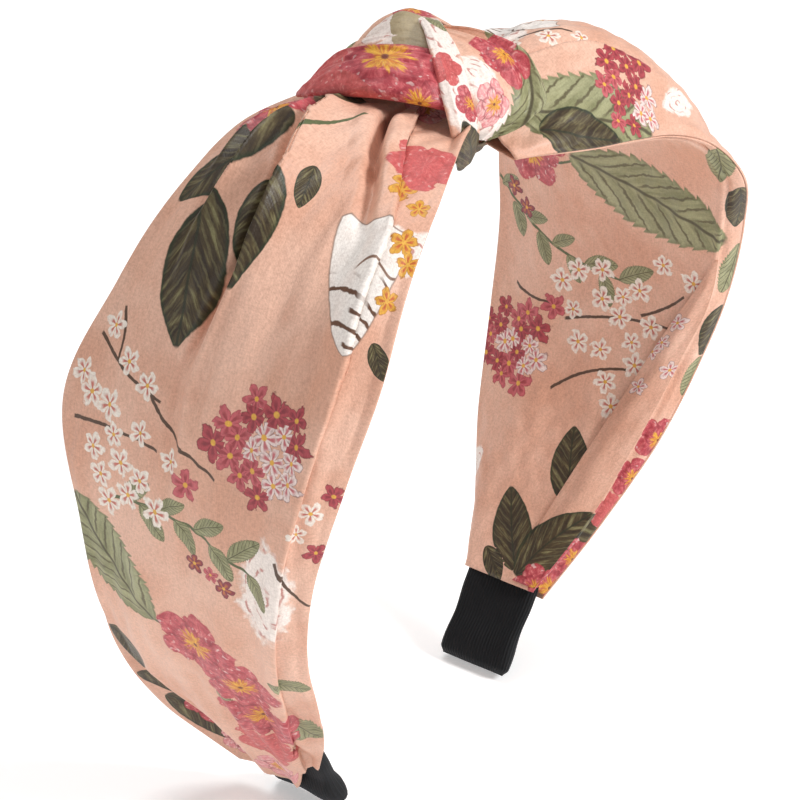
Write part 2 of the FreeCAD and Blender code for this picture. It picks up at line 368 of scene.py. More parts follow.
# the lining stops short of the ribbon
LEFT_LINING_ROWS = (
    (1, ((14, -0.6), (9, -2.4), (0, -2.7), (-9, -2.4), (-14, -1.0))),
    (15, ((17, 0.2), (10.5, -2.3), (0, -2.7), (-10.5, -2.4), (-17, 1))),
    (30, ((23.5, 1.6), (10.5, -2.3), (0, -2.7), (-10.5, -2.4), (-23.7, 6.4))),
    (50, ((23, 2.9), (10.5, -2.3), (0, -2.7), (-10.5, -2.4), (-31, 5.0))),
    (72, ((26.8, 4.6), (10.5, -2.3), (0, -2.7), (-10.5, -2.4), (-34, 2.5))),
    (95, ((32.8, 5.7), (10.5, -2.3), (0, -2.7), (-10.5, -2.4), (-30.5, 0.3))),
    (120, ((28.4, 5.2), (10.5, -2.3), (0, -2.7), (-10.5, -2.4), (-24, 0.1))),
    (145, ((28.4, 5.0), (10.5, -2.3), (0, -2.7), (-10.5, -2.4), (-19, 0.1))),
    (156, ((29.2, 5.6), (17, -2.2), (0, -2.8), (-10.5, -2.5), (-17, 0.1))),
    (168, ((29.6, 6.0), (20, -2.4), (0, -2.8), (-10.5, -2.5), (-15, 0.1))),
    (178, ((29.6, 4.8), (18, -2.4), (0, -2.9), (-10, -2.8), (-12.4, -0.2))),
    (186, ((27.6, 4.0), (14, -2.4), (0, -3), (-8, -2.9), (-9.2, -1.8))),
)


def lining_lift(u, v, y):
    return 0.22 * ripples(u * 0.4, v, 11, 5, 14) * ease(8, 20, u)


def matched(rows, partner, back=(0, 999), front=(0, 999), drop=0.35):
    """Rows whose outer points are moved to just inside the partner's edges over given lengths."""
    knots = [r[0] for r in partner]
    ends = hermite(knots, np.array([(r[1][0], r[1][-1]) for r in partner], float),
                   np.array([r[0] for r in rows], float))
    out = []
    for (s, row), (b, f) in zip(rows, ends):
        row = list(row)
        if back[0] <= s <= back[1]:
            row[0] = (b[0], b[1] - drop)
        if front[0] <= s <= front[1]:
            row[-1] = (f[0], f[1] - drop)
        out.append((s, tuple(row)))
    return tuple(out)


left_lining = Cloth("left_lining_ply", -1, matched(LEFT_LINING_ROWS, LEFT_ROWS, back=(0, 146),
                                                   front=(0, 172)), 220, 110, lift=lining_lift)
thicken(left_lining.build(), LINING_PLY, 1.0)

# --- Right limb ---
RIGHT_ROWS = (
    (-4, ((12, 0.5), (5, 3.5), (-6, 4), (-14, 1), (-22, -4.2))),
    (18, ((14, 0.6), (5, 5.5), (-7, 7.4), (-18.5, 3.6), (-29.5, -5.5))),
    (30, ((15, 0.8), (4, 7.8), (-8, 10.5), (-19, 6), (-30.5, -6))),
    (46, ((16, 1.2), (4, 8), (-8, 10.5), (-19.5, 6), (-31.5, -6))),
    (60, ((19, 1.6), (5.5, 7.4), (-8, 9.5), (-21.5, 6), (-35, -3.5))),
    (76, ((24, 2), (8.5, 6.8), (-7, 8.5), (-22.5, 6.4), (-38, 0))),
    (92, ((28, 2.2), (12, 6), (-4, 7.5), (-19.5, 6.6), (-35, 3))),
    (110, ((27.5, 2), (12.7, 5.3), (-2, 6.5), (-17, 5.8), (-32, 3.2))),
    (130, ((26.5, 2), (13, 4.6), (0, 5.5), (-13.7, 5), (-27.5, 2.8))),
    (152, ((22.5, 2), (11, 3.8), (0, 4.5), (-11, 4), (-22.5, 2))),
    (172, ((15.6, 2.2), (8, 3.4), (0, 3.8), (-8.5, 3.4), (-16.4, 1.9))),
    (190, ((9.5, 2.6), (5, 3.1), (0, 3.2), (-5, 3.1), (-9.6, 2.5))),
)
CROWN_FOLD = ((14, -9), (24, -12), (32, -15), (46, -22), (60, -28))
BACK_PLEAT = ((8, 5), (22, 6.5), (40, 9))
CROWN_HOLLOW = ((14, 2), (30, 4), (50, 9))


def right_lift(u, v, y):
    h = pleat(u, y, CROWN_FOLD, 2.0, 5.0, (34, 70))
    h = h + pleat(u, y, BACK_PLEAT, 1.3, 4.0, (22, 48))
    h = h + 0.13 * ripples(u * 0.6, v, 28, 6, 5)
    h = h + 0.5 * ease(60, 90, u) * ripples(u * 0.25, v, 29, 4, 11)
    h = h - 1.2 * (1 - ease(24, 50, u)) * bump((y - fold_line(CROWN_HOLLOW, u)) / 4)
    h = h + 0.8 * (1 - ease(26, 48, u)) * bump((y + 24 - 0.08 * u) / 4)
    return h + 0.3 * ease(14, 40, u) * ripples(u * 0.4, v, 21, 5, 15)


right_panel = Cloth("right_panel", 1, RIGHT_ROWS, 300, 190, lift=right_lift)
thicken(right_panel.build(), PANEL_PLY, -1.0)

# lining with the narrow edge strip that turns outward along the front
RIGHT_LINING_ROWS = (
    (-3, ((14, -0.6), (9, -2.4), (0, -2.7), (-9, -2.4), (-20.6, -5.0), (-21.6, -4.6))),
    (15, ((14.2, -0.6), (10, -2.3), (0, -2.7), (-10, -2.6), (-27, -6.2), (-27.6, -5.4))),
    (30, ((14.5, -0.4), (10, -2.3), (0, -2.7), (-10, -2.8), (-29.6, -7.2), (-30.4, -6.4))),
    (46, ((15.5, 0.2), (10, -2.3), (0, -2.7), (-10, -2.8), (-30.6, -7.2), (-31.4, -6.4))),
    (60, ((18.5, 0.7), (10.5, -2.3), (0, -2.7), (-10.5, -2.7), (-33, -5), (-34.9, -4))),
    (76, ((23.5, 1.2), (11, -2.3), (0, -2.7), (-10.5, -2.6), (-35, -2.3), (-37.9, -0.6))),
    (92, ((27.5, 1.5), (12, -2.2), (0, -2.7), (-10.5, -2.5), (-32.6, -1.8), (-35, 2.3))),
    (110, ((27.2, 1.3), (12, -2.2), (0, -2.7), (-10.5, -2.5), (-30.8, -1.8), (-32, 2.5))),
    (130, ((26.2, 1.3), (11.5, -2.3), (0, -2.7), (-10.5, -2.5), (-25.2, -2), (-27.5, 2.1))),
    (152, ((22.2, 1.2), (11, -2.3), (0, -2.8), (-10.5, -2.6), (-20.4, -2), (-22.5, 1.4))),
    (172, ((16.2, 1.2), (10.5, -2.2), (0, -2.9), (-10.5, -2.7), (-15.8, -2.1), (-17, 1.2))),
    (189, ((9.6, 1.0), (9.2, -2), (0, -3), (-8.8, -2.8), (-9.6, -2.2), (-9.8, 2.0))),
)


RIGHT_LINING_ROWS = matched(RIGHT_LINING_ROWS, RIGHT_ROWS)
RIGHT_CREASE = tuple((s, row[4][0]) for s, row in RIGHT_LINING_ROWS)


def right_lining_lift(u, v, y):
    """Ripples, a long hollow, and the raised crease with the groove beside it."""
    past_crease = y - fold_line(RIGHT_CREASE, u)
    hollow = bump((y + 21 - 0.12 * (u - 100)) / 3.5) * ease(60, 84, u) * (1 - ease(104, 120, u))
    return ease(8, 20, u) * (
        0.3 * ripples(u * 0.3, v, 31, 4, 17) + 0.1 * ripples(u * 0.7, v, 37, 6, 5) - 0.5 * hollow
        + 0.9 * bump((past_crease + 0.25) / 0.7) - 0.5 * bump((past_crease - 1.1) / 1.3))


right_lining = Cloth("right_lining_ply", 1, RIGHT_LINING_ROWS, 240, 140, sharp=(4,),
                     lift=right_lining_lift)
thicken(right_lining.build(), LINING_PLY, -1.0)

RIGHT_FOLD_ROWS = (
    (100, ((-30.8, -2.3), (-31.2, -2.2), (-31.6, -2.0))),
    (106, ((-28.4, -3.1), (-29.8, -3.1), (-31.2, -2.1))),
    (114, ((-24.6, -3.5), (-27.2, -3.7), (-29.8, -2.2))),
    (124, ((-20.2, -3.6), (-23.4, -4.0), (-26.7, -2.3))),
    (138, ((-15.2, -3.6), (-19.2, -4.2), (-23.2, -2.4))),
    (152, ((-11.0, -3.6), (-15.6, -4.3), (-20.2, -2.5))),
    (166, ((-7.4, -3.6), (-12.4, -4.4), (-17.2, -2.6))),
    (178, ((-4.6, -3.7), (-9.4, -4.4), (-13.4, -3.0))),
    (188, ((-2.8, -3.6), (-6.0, -4.0), (-9.6, -3.1))),
)
right_fold = Cloth("right_inner_fold_ply", 1, RIGHT_FOLD_ROWS, 150, 50,
                   lift=lambda u, v, y: 0.12 * ripples(u * 0.5, v, 33, 5, 6))
thicken(right_fold.build(), FOLD_PLY, -1.0)

LEFT_BACK_ROWS = (
    (144, ((28.0, 5.8), (26, 5.6), (20, 4.8))),
    (156, ((29.4, 6.4), (25.5, 3.4), (19, 2.4))),
    (168, ((29.8, 6.2), (23, 1.2), (14, 0.6))),
    (178, ((29.8, 5.2), (20, 0.1), (10, 0.3))),
    (188, ((27.0, 4.4), (17, 0.3), (7.5, 0.9))),
    (196, ((21.8, 3.4), (14, 1.1), (7, 1.6))),
    (203, ((15.6, 2.7), (11, 1.9), (7.4, 2.1))),
)
left_back = Cloth("left_back_ply", -1, LEFT_BACK_ROWS, 90, 36)
thicken(left_back.build(), LINING_PLY, 1.0)


# --- Knot: bands of folded satin between two edge curves ---
def curve_through(points, t):
    points = np.asarray(points, float)
    step = np.linalg.norm(np.diff(points, axis=0), axis=1)
    run = np.concatenate([[0], np.cumsum(step)]) / step.sum()
    return hermite(run, points, t)


def band(name, edge_a, edge_b, bulge, out, count_t=120, count_w=90, wrap=0.6, ribs=(), seed=1,
         rough=0.12):
    """Rounded band between edge curves a and b (mm), puffed towards out, edges turned under."""
    t = np.linspace(0, 1, count_t)
    a, b = curve_through(edge_a, t), curve_through(edge_b, t)
    mid, half = (a + b) / 2, (b - a) / 2
    along = np.gradient(mid, axis=0)
    normal = np.cross(along, half)
    normal /= np.linalg.norm(normal, axis=1, keepdims=True)
    facing = np.sign((normal * np.asarray(out, float)).sum(1).mean())
    normal *= facing
    height = np.interp(t, np.linspace(0, 1, len(bulge)), bulge)
    theta = np.linspace(-wrap, math.pi + wrap, count_w)
    w = -np.cos(theta)
    lift = np.sign(np.sin(theta)) * np.abs(np.sin(theta)) ** 0.75
    lift = np.where(lift < 0, lift * 0.8, lift)
    size = np.linalg.norm(half, axis=1)
    u = t[:, None] * np.linalg.norm(np.diff(mid, axis=0), axis=1).sum() + 0 * theta[None]
    v = w[None] * size[:, None]
    rise = height[:, None] * lift[None]
    arc = np.cumsum(np.hypot(np.diff(v, axis=1, prepend=v[:, :1]),
                             np.diff(rise, axis=1, prepend=rise[:, :1])), 1)
    v = arc - arc[:, count_w // 2][:, None]
    extra = np.zeros_like(u)
    fade = np.sin(np.pi * np.clip(t, 0, 1))[:, None] ** 0.4
    for centre, amp, spread, sway in ribs:
        pos = centre + sway * (t[:, None] - 0.5)
        extra += amp * np.exp(-((w[None] - pos) / spread) ** 2) * fade
    extra += rough * ripples(u, v * 1.6, seed, 5, 6)
    grid = (mid[:, None] + half[:, None] * w[None, :, None]
            + normal[:, None] * rise[..., None]
            + normal[:, None] * (extra * (lift[None] > 0))[..., None])
    obj = grid_mesh(name, grid, np.stack([u, v], -1))
    thicken(obj, LINING_PLY, 1.0 if facing < 0 else -1.0)
    return obj


front_wrap = band(
    "knot_front_band",
    [(-22.0, 21.6, 155.0), (-24.4, 17.0, 157.2), (-25.2, 12.4, 159.0), (-25.2, 7.0, 160.8),
     (-24.4, -0.2, 162.2), (-21.4, -6.4, 161.8), (-16.4, -11.0, 159.8), (-9, -12.9, 157.0)],
    [(-20.4, 21.6, 155.2), (-16.9, 19.0, 158.6), (-13.4, 16.0, 162.2), (-12.2, 11.0, 165.0),
     (-11.2, 5.1, 166.8), (-8.6, -0.9, 166.6), (-4.8, -6.5, 164.2), (-1, -9.0, 161.5)],
    [0.6, 1.8, 2.6, 3.0, 3.2, 2.9, 2.2, 1.6], (-0.7, -0.2, 0.7), wrap=0.9,
    ribs=((0.55, 0.8, 0.07, -0.7), (0.1, -0.45, 0.09, -0.6), (-0.45, 0.35, 0.12, -0.2),
          (0.85, -0.5, 0.06, -0.4)), seed=2)
back_fold = band(
    "knot_back_band",
    [(-20.0, 21.0, 154.6), (-15.6, 18.8, 158.4), (-11.6, 15.8, 161.6), (-9.8, 11.0, 164.6),
     (-8.0, 4, 166.4)],
    [(-13, 22, 152.8), (-9.0, 20, 157.0), (-5.0, 16.6, 162.0), (-3.8, 11, 165.8), (-2.6, 4, 168)],
    [0.6, 1.4, 1.6, 1.5, 1.2], (-0.5, 0.4, 0.8), wrap=0.9,
    ribs=((0.0, 0.5, 0.2, 0.0), (-0.6, 0.5, 0.1, 0.3)), seed=4)
top_lobe = band(
    "knot_top_band",
    [(-10.4, 16.2, 160.2), (-10.4, 11.4, 163.8), (-9.8, 5.2, 166.0), (-7.0, -1.6, 166.4)],
    [(-6.4, 17.9, 161.0), (-3.1, 15.5, 165.6), (-1.4, 11.6, 169.4), (-1.2, 4.6, 169.8)],
    [0.6, 1.0, 1.1, 0.8], (-0.6, 0.2, 0.8), wrap=0.9,
    ribs=((0.35, 0.35, 0.25, 0.2), (-0.3, -0.25, 0.2, 0.0)), seed=5)
top_back = band(
    "knot_rear_band",
    [(-6.6, 19.8, 159.6), (-3.4, 16.0, 165.2), (-1.2, 11.4, 168.6), (-0.6, 3.6, 168.8)],
    [(2, 22, 153.5), (8, 18, 157), (11, 12, 159.5), (12, 4, 160)],
    [1.2, 2.6, 3.0, 1.8], (0.5, 0.4, 0.8), wrap=0.9,
    ribs=((0.0, 0.6, 0.25, 0.3), (0.6, -0.5, 0.15, 0.1)), seed=6)
cross_wrap = band(
    "knot_cross_band",
    [(-0.4, 10.4, 168.6), (-3.0, 6.4, 169.8), (-11.6, -2.5, 168.6), (-17.4, -9.2, 164.2),
     (-18.4, -12.6, 157.5), (-16.0, -13.0, 149.8), (-13.0, -11.8, 145.8)],
    [(2.4, 4.5, 168.4), (-1.2, 1.0, 169.0), (-7.2, -7.4, 166.4), (-11.6, -12.8, 161.4),
     (-10.4, -14.0, 156.0), (-8.0, -12.8, 150.0), (-7.0, -11.0, 146.0)],
    [0.6, 0.8, 1.0, 1.2, 1.2, 1.0, 0.7], (-0.5, -0.7, 0.5), wrap=1.0,
    ribs=((0.55, 0.35, 0.14, -0.3), (-0.6, 0.25, 0.12, 0.1)), seed=7, rough=0.07)
fan = band(
    "knot_fan_band",
    [(-3.4, 1.6, 168.2), (-8.4, -6.5, 165.6), (-11.6, -11.6, 161.0), (-10.6, -13.2, 156.0),
     (-7.8, -12.4, 151.0)],
    [(-1.2, 3.4, 168.8), (4.0, -5.4, 167.0), (11.4, -11.2, 161.8), (9.8, -17.0, 155.8),
     (-5.4, -13.6, 150.8)],
    [0.5, 1.8, 2.4, 2.2, 0.7], (0.1, -0.8, 0.7), count_t=170, count_w=150, wrap=0.8,
    ribs=((0.72, 1.3, 0.07, -0.55), (0.5, -0.8, 0.09, -0.45), (0.15, 0.5, 0.10, -0.25),
          (-0.15, -0.45, 0.10, -0.1), (-0.5, 0.35, 0.12, 0.0)), seed=8, rough=0.1)
under_wrap = band(
    "knot_under_band",
    [(-12.4, -12.6, 150.0), (-10.4, -9, 146.4), (-10, 2.6, 145.7), (-10.4, 14, 146.4), (-9, 19.5, 150)],
    [(-2.6, -12.4, 150.4), (4.0, -9, 146.4), (4.6, 2.6, 145.7), (4.0, 14, 146.4), (0, 20, 150.6)],
    [0.6, 1.0, 1.1, 1.0, 0.8], (0, 0, -1), wrap=0.7, ribs=((0.3, 0.25, 0.2, 0.2),), seed=9)
tail = band(
    "knot_tail_ply",
    [(-15.0, -12.9, 149.2), (-12.2, -12.9, 149.6), (-7.0, -12.0, 150.4), (-4.2, -11.6, 151.0)],
    [(-15.8, -12.7, 148.6), (-13.0, -12.3, 147.9), (-8.4, -11.6, 148.8), (-4.6, -11.2, 150.2)],
    [0.2, 0.4, 0.4, 0.2], (-0.3, -0.9, 0.1), count_t=50, count_w=30, rough=0.02)


# --- Ribbon sleeves: ribbed grosgrain folded over the tips ---
RIB_PITCH, RIB_HEIGHT = 0.75, 0.11
SLEEVE_FROM, SLEEVE_HALF_WIDTH, SLEEVE_HALF_THICKNESS = 184.5, 9.0, 1.75
FLOOR_CLEARANCE = 0.02


def ribbon(name, side):
    """Flattened tube round the core whose ribs run along it; it closes at the tip."""
    count_s, count_c = 90, 420
    end = HALF_LENGTH - 0.2
    s = np.linspace(SLEEVE_FROM, end, count_s)
    half_w, half_t = SLEEVE_HALF_WIDTH, SLEEVE_HALF_THICKNESS
    straight = 2 * (half_w - half_t)
    arc = math.pi * half_t
    total = 2 * straight + 2 * arc
    c = np.linspace(0, total, count_c, endpoint=False)
    y = np.empty_like(c)
    n = np.empty_like(c)
    ny = np.zeros_like(c)
    nn = np.zeros_like(c)
    for i, q in enumerate(c):
        if q < straight:
            y[i], n[i], nn[i] = straight / 2 - q, half_t, 1
        elif q < straight + arc:
            a = (q - straight) / half_t
            y[i], n[i] = -straight / 2 - half_t * math.sin(a), half_t * math.cos(a)
            ny[i], nn[i] = -math.sin(a), math.cos(a)
        elif q < 2 * straight + arc:
            y[i], n[i], nn[i] = -straight / 2 + (q - straight - arc), -half_t, -1
        else:
            a = (q - 2 * straight - arc) / half_t
            y[i], n[i] = straight / 2 + half_t * math.sin(a), -half_t * math.cos(a)
            ny[i], nn[i] = math.sin(a), -math.cos(a)
    rib = RIB_HEIGHT * (np.abs(np.cos(math.pi * c / RIB_PITCH)) ** 0.7 - 0.5)
    u = np.repeat(s[:, None], count_c, 1)
    # the end folds over, rounded, and the ribbon pinches in a little above it
    close = ease(end - 2.2, end, u)
    flat = np.sqrt(np.clip(1 - close ** 2.2, 0.0, 1))
    yy = (y + ny * rib)[None] * (1 - 0.045 * bump((u - end + 10) / 7)) * (1 - 0.10 * close ** 2)
    tt = (n + nn * rib)[None] * (0.12 + 0.88 * flat) * (1 + 0.45 * bump((u - end + 5.5) / 6))
    bend = (0.55 * (yy / half_w) ** 2 * ease(188, end, u)
            + 0.35 * np.sin(yy * 0.42 + 0.8) * ease(end - 14, end - 3, u))
    grid = place(side, u, yy, tt - bend)
    grid[..., 2] = np.maximum(grid[..., 2], FLOOR_CLEARANCE)
    return grid_mesh(name, grid, np.stack([u, np.repeat(c[None], count_s, 0)], -1), wrap=True)


left_ribbon = ribbon("left_ribbon", -1)
right_ribbon = ribbon("right_ribbon", 1)


# --- A small language for shader nodes ---
def rgb(code):
    """Linear colour from a hex code."""
    parts = [int(code[k:k + 2], 16) / 255 for k in (0, 2, 4)]
    return tuple(c / 12.92 if c <= 0.04045 else ((c + 0.055) / 1.055) ** 2.4 for c in parts)


class Val:
    """A node socket that can be used in arithmetic."""

    def __init__(self, net, sock):
        self.net, self.sock = net, sock


def operator(op, swapped=False):
    """Arithmetic between sockets as one Math node."""
    def method(self, other):
        pair = (other, self) if swapped else (self, other)
        return self.net.math(op, *pair)
    return method


for symbol, op in (("add", "ADD"), ("sub", "SUBTRACT"), ("mul", "MULTIPLY"), ("truediv", "DIVIDE")):
    setattr(Val, "__%s__" % symbol, operator(op))
    setattr(Val, "__r%s__" % symbol, operator(op, swapped=True))


class Net:
    def __init__(self, tree):
        self.tree = tree

    def node(self, kind, **props):
        node = self.tree.nodes.new(kind)
        for key, value in props.items():
            setattr(node, key, value)
        return node

    def plug(self, sock, value):
        if isinstance(value, Val):
            self.tree.links.new(value.sock, sock)
        elif isinstance(value, (tuple, list)) and sock.type == "RGBA":
            sock.default_value = (*value[:3], 1)
        else:
            sock.default_value = value

    def math(self, op, *args):
        node = self.node("ShaderNodeMath", operation=op)
        for sock, value in zip(node.inputs, args):
            self.plug(sock, value)
        return Val(self, node.outputs[0])

    def smooth(self, lo, hi, x):
        """0 below lo, 1 above hi, smooth between; lo may be the larger."""
        node = self.node("ShaderNodeMapRange", interpolation_type="SMOOTHSTEP")
        self.plug(node.inputs["Value"], x)
        flip = isinstance(lo, (int, float)) and isinstance(hi, (int, float)) and lo > hi
        if flip:
            lo, hi = hi, lo
        self.plug(node.inputs["From Min"], lo)
        self.plug(node.inputs["From Max"], hi)
        node.inputs["To Min"].default_value = 1.0 if flip else 0.0
        node.inputs["To Max"].default_value = 0.0 if flip else 1.0
        return Val(self, node.outputs["Result"])

    def attribute(self, name):
        node = self.node("ShaderNodeAttribute", attribute_type="GEOMETRY", attribute_name=name)
        return Val(self, node.outputs["Vector"])

    def split(self, vec):
        node = self.node("ShaderNodeSeparateXYZ")
        self.plug(node.inputs[0], vec)
        return tuple(Val(self, o) for o in node.outputs)

    def join(self, x, y, z=0.0):
        node = self.node("ShaderNodeCombineXYZ")
        for sock, value in zip(node.inputs, (x, y, z)):
            self.plug(sock, value)
        return Val(self, node.outputs[0])

    def noise(self, vec, scale, detail=2.0, rough=0.5, distortion=0.0):
        node = self.node("ShaderNodeTexNoise", noise_dimensions="3D")
        self.plug(node.inputs["Vector"], vec)
        node.inputs["Scale"].default_value = scale
        node.inputs["Detail"].default_value = detail
        node.inputs["Roughness"].default_value = rough
        node.inputs["Distortion"].default_value = distortion
        return Val(self, node.outputs["Fac"])

    def tint(self, colour, *steps):
        """Lays hex colours over colour in turn, each as strong as its factor."""
        for fac, code in steps:
            colour = self.mix(fac, colour, rgb(code))
        return colour

    def mix(self, fac, a, b):
        node = self.node("ShaderNodeMix", data_type="RGBA")
        self.plug(node.inputs[0], fac)
        self.plug(node.inputs[6], a)
        self.plug(node.inputs[7], b)
        return Val(self, node.outputs[2])

    def pick(self, code, colours):
        """Stepped colour list, chosen by the whole part of code."""
        node = self.node("ShaderNodeValToRGB")
        ramp = node.color_ramp
        ramp.interpolation = "CONSTANT"
        n = len(colours)
        while len(ramp.elements) < n:
            ramp.elements.new(1.0)
        for k, colour in enumerate(colours):
            ramp.elements[k].position = k / n
            ramp.elements[k].color = (*colour, 1)
        self.plug(node.inputs[0], (self.floor(code) + 0.5) / float(n))
        return Val(self, node.outputs[0])


for name, op in (("abs", "ABSOLUTE"), ("pow", "POWER"), ("sin", "SINE"), ("cos", "COSINE"),
                 ("frac", "FRACT"), ("floor", "FLOOR"), ("min", "MINIMUM"), ("max", "MAXIMUM"),
                 ("above", "GREATER_THAN")):
    setattr(Net, name, lambda self, *args, op=op: self.math(op, *args))


def group(name, build):
    """Node group that turns a motif's own place and the cloth's place into Color and Mask."""
    tree = bpy.data.node_groups.new(name, "ShaderNodeTree")
    tree.interface.new_socket("Place", in_out="INPUT", socket_type="NodeSocketVector")
    tree.interface.new_socket("Cloth", in_out="INPUT", socket_type="NodeSocketVector")
    tree.interface.new_socket("Color", in_out="OUTPUT", socket_type="NodeSocketColor")
    tree.interface.new_socket("Mask", in_out="OUTPUT", socket_type="NodeSocketFloat")
    net = Net(tree)
    source = net.node("NodeGroupInput")
    colour, mask = build(net, Val(net, source.outputs["Place"]), Val(net, source.outputs["Cloth"]))
    sink = net.node("NodeGroupOutput")
    net.plug(sink.inputs["Color"], colour)
    net.plug(sink.inputs["Mask"], mask)
    return tree


def leaf_motif(g, place_vec, cloth):
    """x runs 0..1 from base to tip, y is across in leaf lengths; code 0 dark, 1 sage."""
    x0, y, code = g.split(place_vec)
    seed = g.frac(code)
    kind = g.floor(code)
    sage = g.smooth(0.4, 0.6, kind)
    x = g.min(g.max(x0, 0.0005), 0.9995)
    wob = g.noise(cloth, 0.55, 2.0) - 0.5
    width = g.pow(x, 0.70) * g.pow(1.0 - x, 0.88 - sage * 0.12) * (0.78 - sage * 0.08)
    tooth = g.frac(x * 15.0 + 0.3 + g.abs(y) * 3.0)
    width = width * (1.0 - sage * 0.13 * tooth) + wob * 0.022
    yy = y + g.sin(x * 3.1416) * 0.03
    side = g.abs(yy)
    mask = g.smooth(-0.004, 0.010, width - side) * g.smooth(0.0, 1.0, x0 * 40.0) * g.smooth(1.0, 0.97, x0)
    streak = g.noise(g.join((x - side * 1.3) * 13.0 + seed * 9.0, side * 5.0, seed * 5.0), 1.0, 3.0, 0.6)
    mid = g.smooth(0.016, 0.004, side)
    vein_at = g.frac((x - side * 1.25) * 8.5 + seed * 3.0 + wob * 0.5)
    vein = (g.smooth(0.16, 0.04, g.abs(vein_at - 0.5)) * g.smooth(0.0, 0.05, side)
            * g.smooth(0.0, 0.035, width - side))
    rim = g.smooth(0.045, 0.008, width - side)
    dark = g.mix(g.smooth(0.35, 0.68, streak), rgb("35281a"), rgb("5e5033"))
    dark = g.tint(dark, (g.smooth(0.54, 0.74, streak) * 0.85, "918c62"), (rim * 0.8, "25351f"),
                  (mid * 0.8, "2a2f1c"), (vein * 0.22, "9a946a"))
    light = g.mix(g.smooth(0.3, 0.7, streak), rgb("82825b"), rgb("a9a77e"))
    light = g.tint(light, (g.smooth(0.02, 0.12, y) * 0.35, "b9b893"), (vein * 0.8, "54492f"),
                   (mid * 0.9, "4e4530"), (rim * 0.5, "66683f"))
    return g.mix(sage, dark, light), mask


def polar(g, x, y):
    return g.math("SQRT", x * x + y * y), g.math("ARCTAN2", y, x)


TURN = 6.2832
# by code: white, red, white with a dark outline, light red, yellow, dark red
PETAL = (rgb("f7ece0"), rgb("b84a52"), rgb("f5e0da"), rgb("cd656b"), rgb("e3a93f"), rgb("96404a"))
HEART = (rgb("c0472f"), rgb("8a2f3a"), rgb("c24a55"), rgb("9c3a40"), rgb("c0512c"), rgb("c9773c"))
LINE = (rgb("e3b9a2"), rgb("5f1f22"), rgb("7a3a33"), rgb("9a3340"), rgb("a8672c"), rgb("4e1a1e"))


def bloom_motif(g, place_vec, cloth):
    """Five-petalled floret of radius 1; the whole part of code picks its colours."""
    x, y, code = g.split(place_vec)
    r, a = polar(g, x, y)
    seed = g.frac(code)
    turn = a + seed * TURN
    rough = (g.noise(cloth, 0.7, 3.0) - 0.5) * 0.42
    lobes = g.abs(g.cos(turn * 2.5 + rough * 1.6))
    edge = 0.44 + 0.46 * g.pow(lobes, 0.85) + rough * 1.7
    mask = g.smooth(0.0, 0.09, edge - r)
    petal = g.pick(code, PETAL)
    heart = g.pick(code, HEART)
    line = g.pick(code, LINE)
    shade = g.noise(g.join(turn * 2.2, r * 2.0, seed * 7.0), 2.0, 2.0)
    colour = g.mix(g.smooth(0.45, 0.8, shade) * 0.45, petal, line)
    rays = g.smooth(0.72, 0.98, lobes) * g.smooth(0.66, 0.40, r)
    colour = g.mix(rays * 0.85, colour, heart)
    gap = g.smooth(0.30, 0.06, lobes) * g.smooth(0.15, 0.35, r)
    colour = g.mix(gap * 0.55, colour, line)
    outline = g.smooth(0.15, 0.05, edge - r) * g.above(code, 0.99999)
    colour = g.mix(outline * 0.8, colour, line)
    centre = g.smooth(0.17, 0.10, r)
    colour = g.mix(centre, colour, rgb("e9b24a"))
    return colour, mask


def flower_motif(g, place_vec, cloth):
    """Large ruffled flower of radius 1 with a yellow eye; code 0 crimson, 1 pale pink, 2 coral."""
    x, y, code = g.split(place_vec)
    r, a = polar(g, x, y)
    seed = g.frac(code)
    turn = a + seed * TURN
    pale = g.smooth(0.4, 0.6, g.floor(code)) * g.smooth(1.6, 1.4, g.floor(code))
    rough = (g.noise(cloth, 0.42, 3.0) - 0.5)
    lobes = g.abs(g.cos(turn * 2.5 + rough * 1.4))
    edge = 0.68 + 0.28 * g.pow(lobes, 0.7) + rough * 0.22
    mask = g.smooth(0.0, 0.05, edge - r)
    fan_noise = g.noise(g.join(turn * 1.5, r * 2.0 + seed * 4.0, 0.0), 2.6, 3.0, 0.66, 0.6)
    inner_edge = 0.36 + 0.18 * g.pow(g.abs(g.cos(turn * 2.5 + 1.4)), 0.8) + rough * 0.2
    ring = g.smooth(0.07, 0.015, g.abs(inner_edge - r))
    deep = g.mix(g.smooth(0.36, 0.60, fan_noise), rgb("b03e48"), rgb("cf6166"))
    deep = g.tint(deep, (g.smooth(0.56, 0.72, fan_noise) * 0.8, "e99f9a"))
    soft = g.mix(g.smooth(0.4, 0.7, fan_noise), rgb("e38f92"), rgb("f6cdc6"))
    gap = g.smooth(0.26, 0.04, lobes) * g.smooth(0.3, 0.5, r)
    blot = g.smooth(0.62, 0.72, g.noise(cloth, 0.8, 1.0)) * g.smooth(0.3, 0.6, r)
    colour = g.tint(g.mix(pale, deep, soft), (ring * 0.55, "972f3b"), (gap * 0.65, "8e2430"),
                    (g.smooth(0.10, 0.02, edge - r) * 0.55, "b23a45"), (blot * 0.55, "f7e2dc"))
    spokes = g.smooth(0.35, 0.65, g.noise(g.join(turn * 2.2, r * 1.2, seed * 3.0), 1.9, 3.0))
    coral = g.above(code, 2.0)
    eye = g.smooth(0.46, 0.34, r + spokes * 0.26) * (1.0 - coral)
    colour = g.mix(eye, colour, g.mix(g.smooth(0.4, 0.6, fan_noise), rgb("d07a2c"), rgb("eab23f")))
    return g.tint(colour, (g.smooth(0.07, 0.03, r) * (1.0 - coral), "7a3320"), (coral * 0.45, "dd6f66")), mask


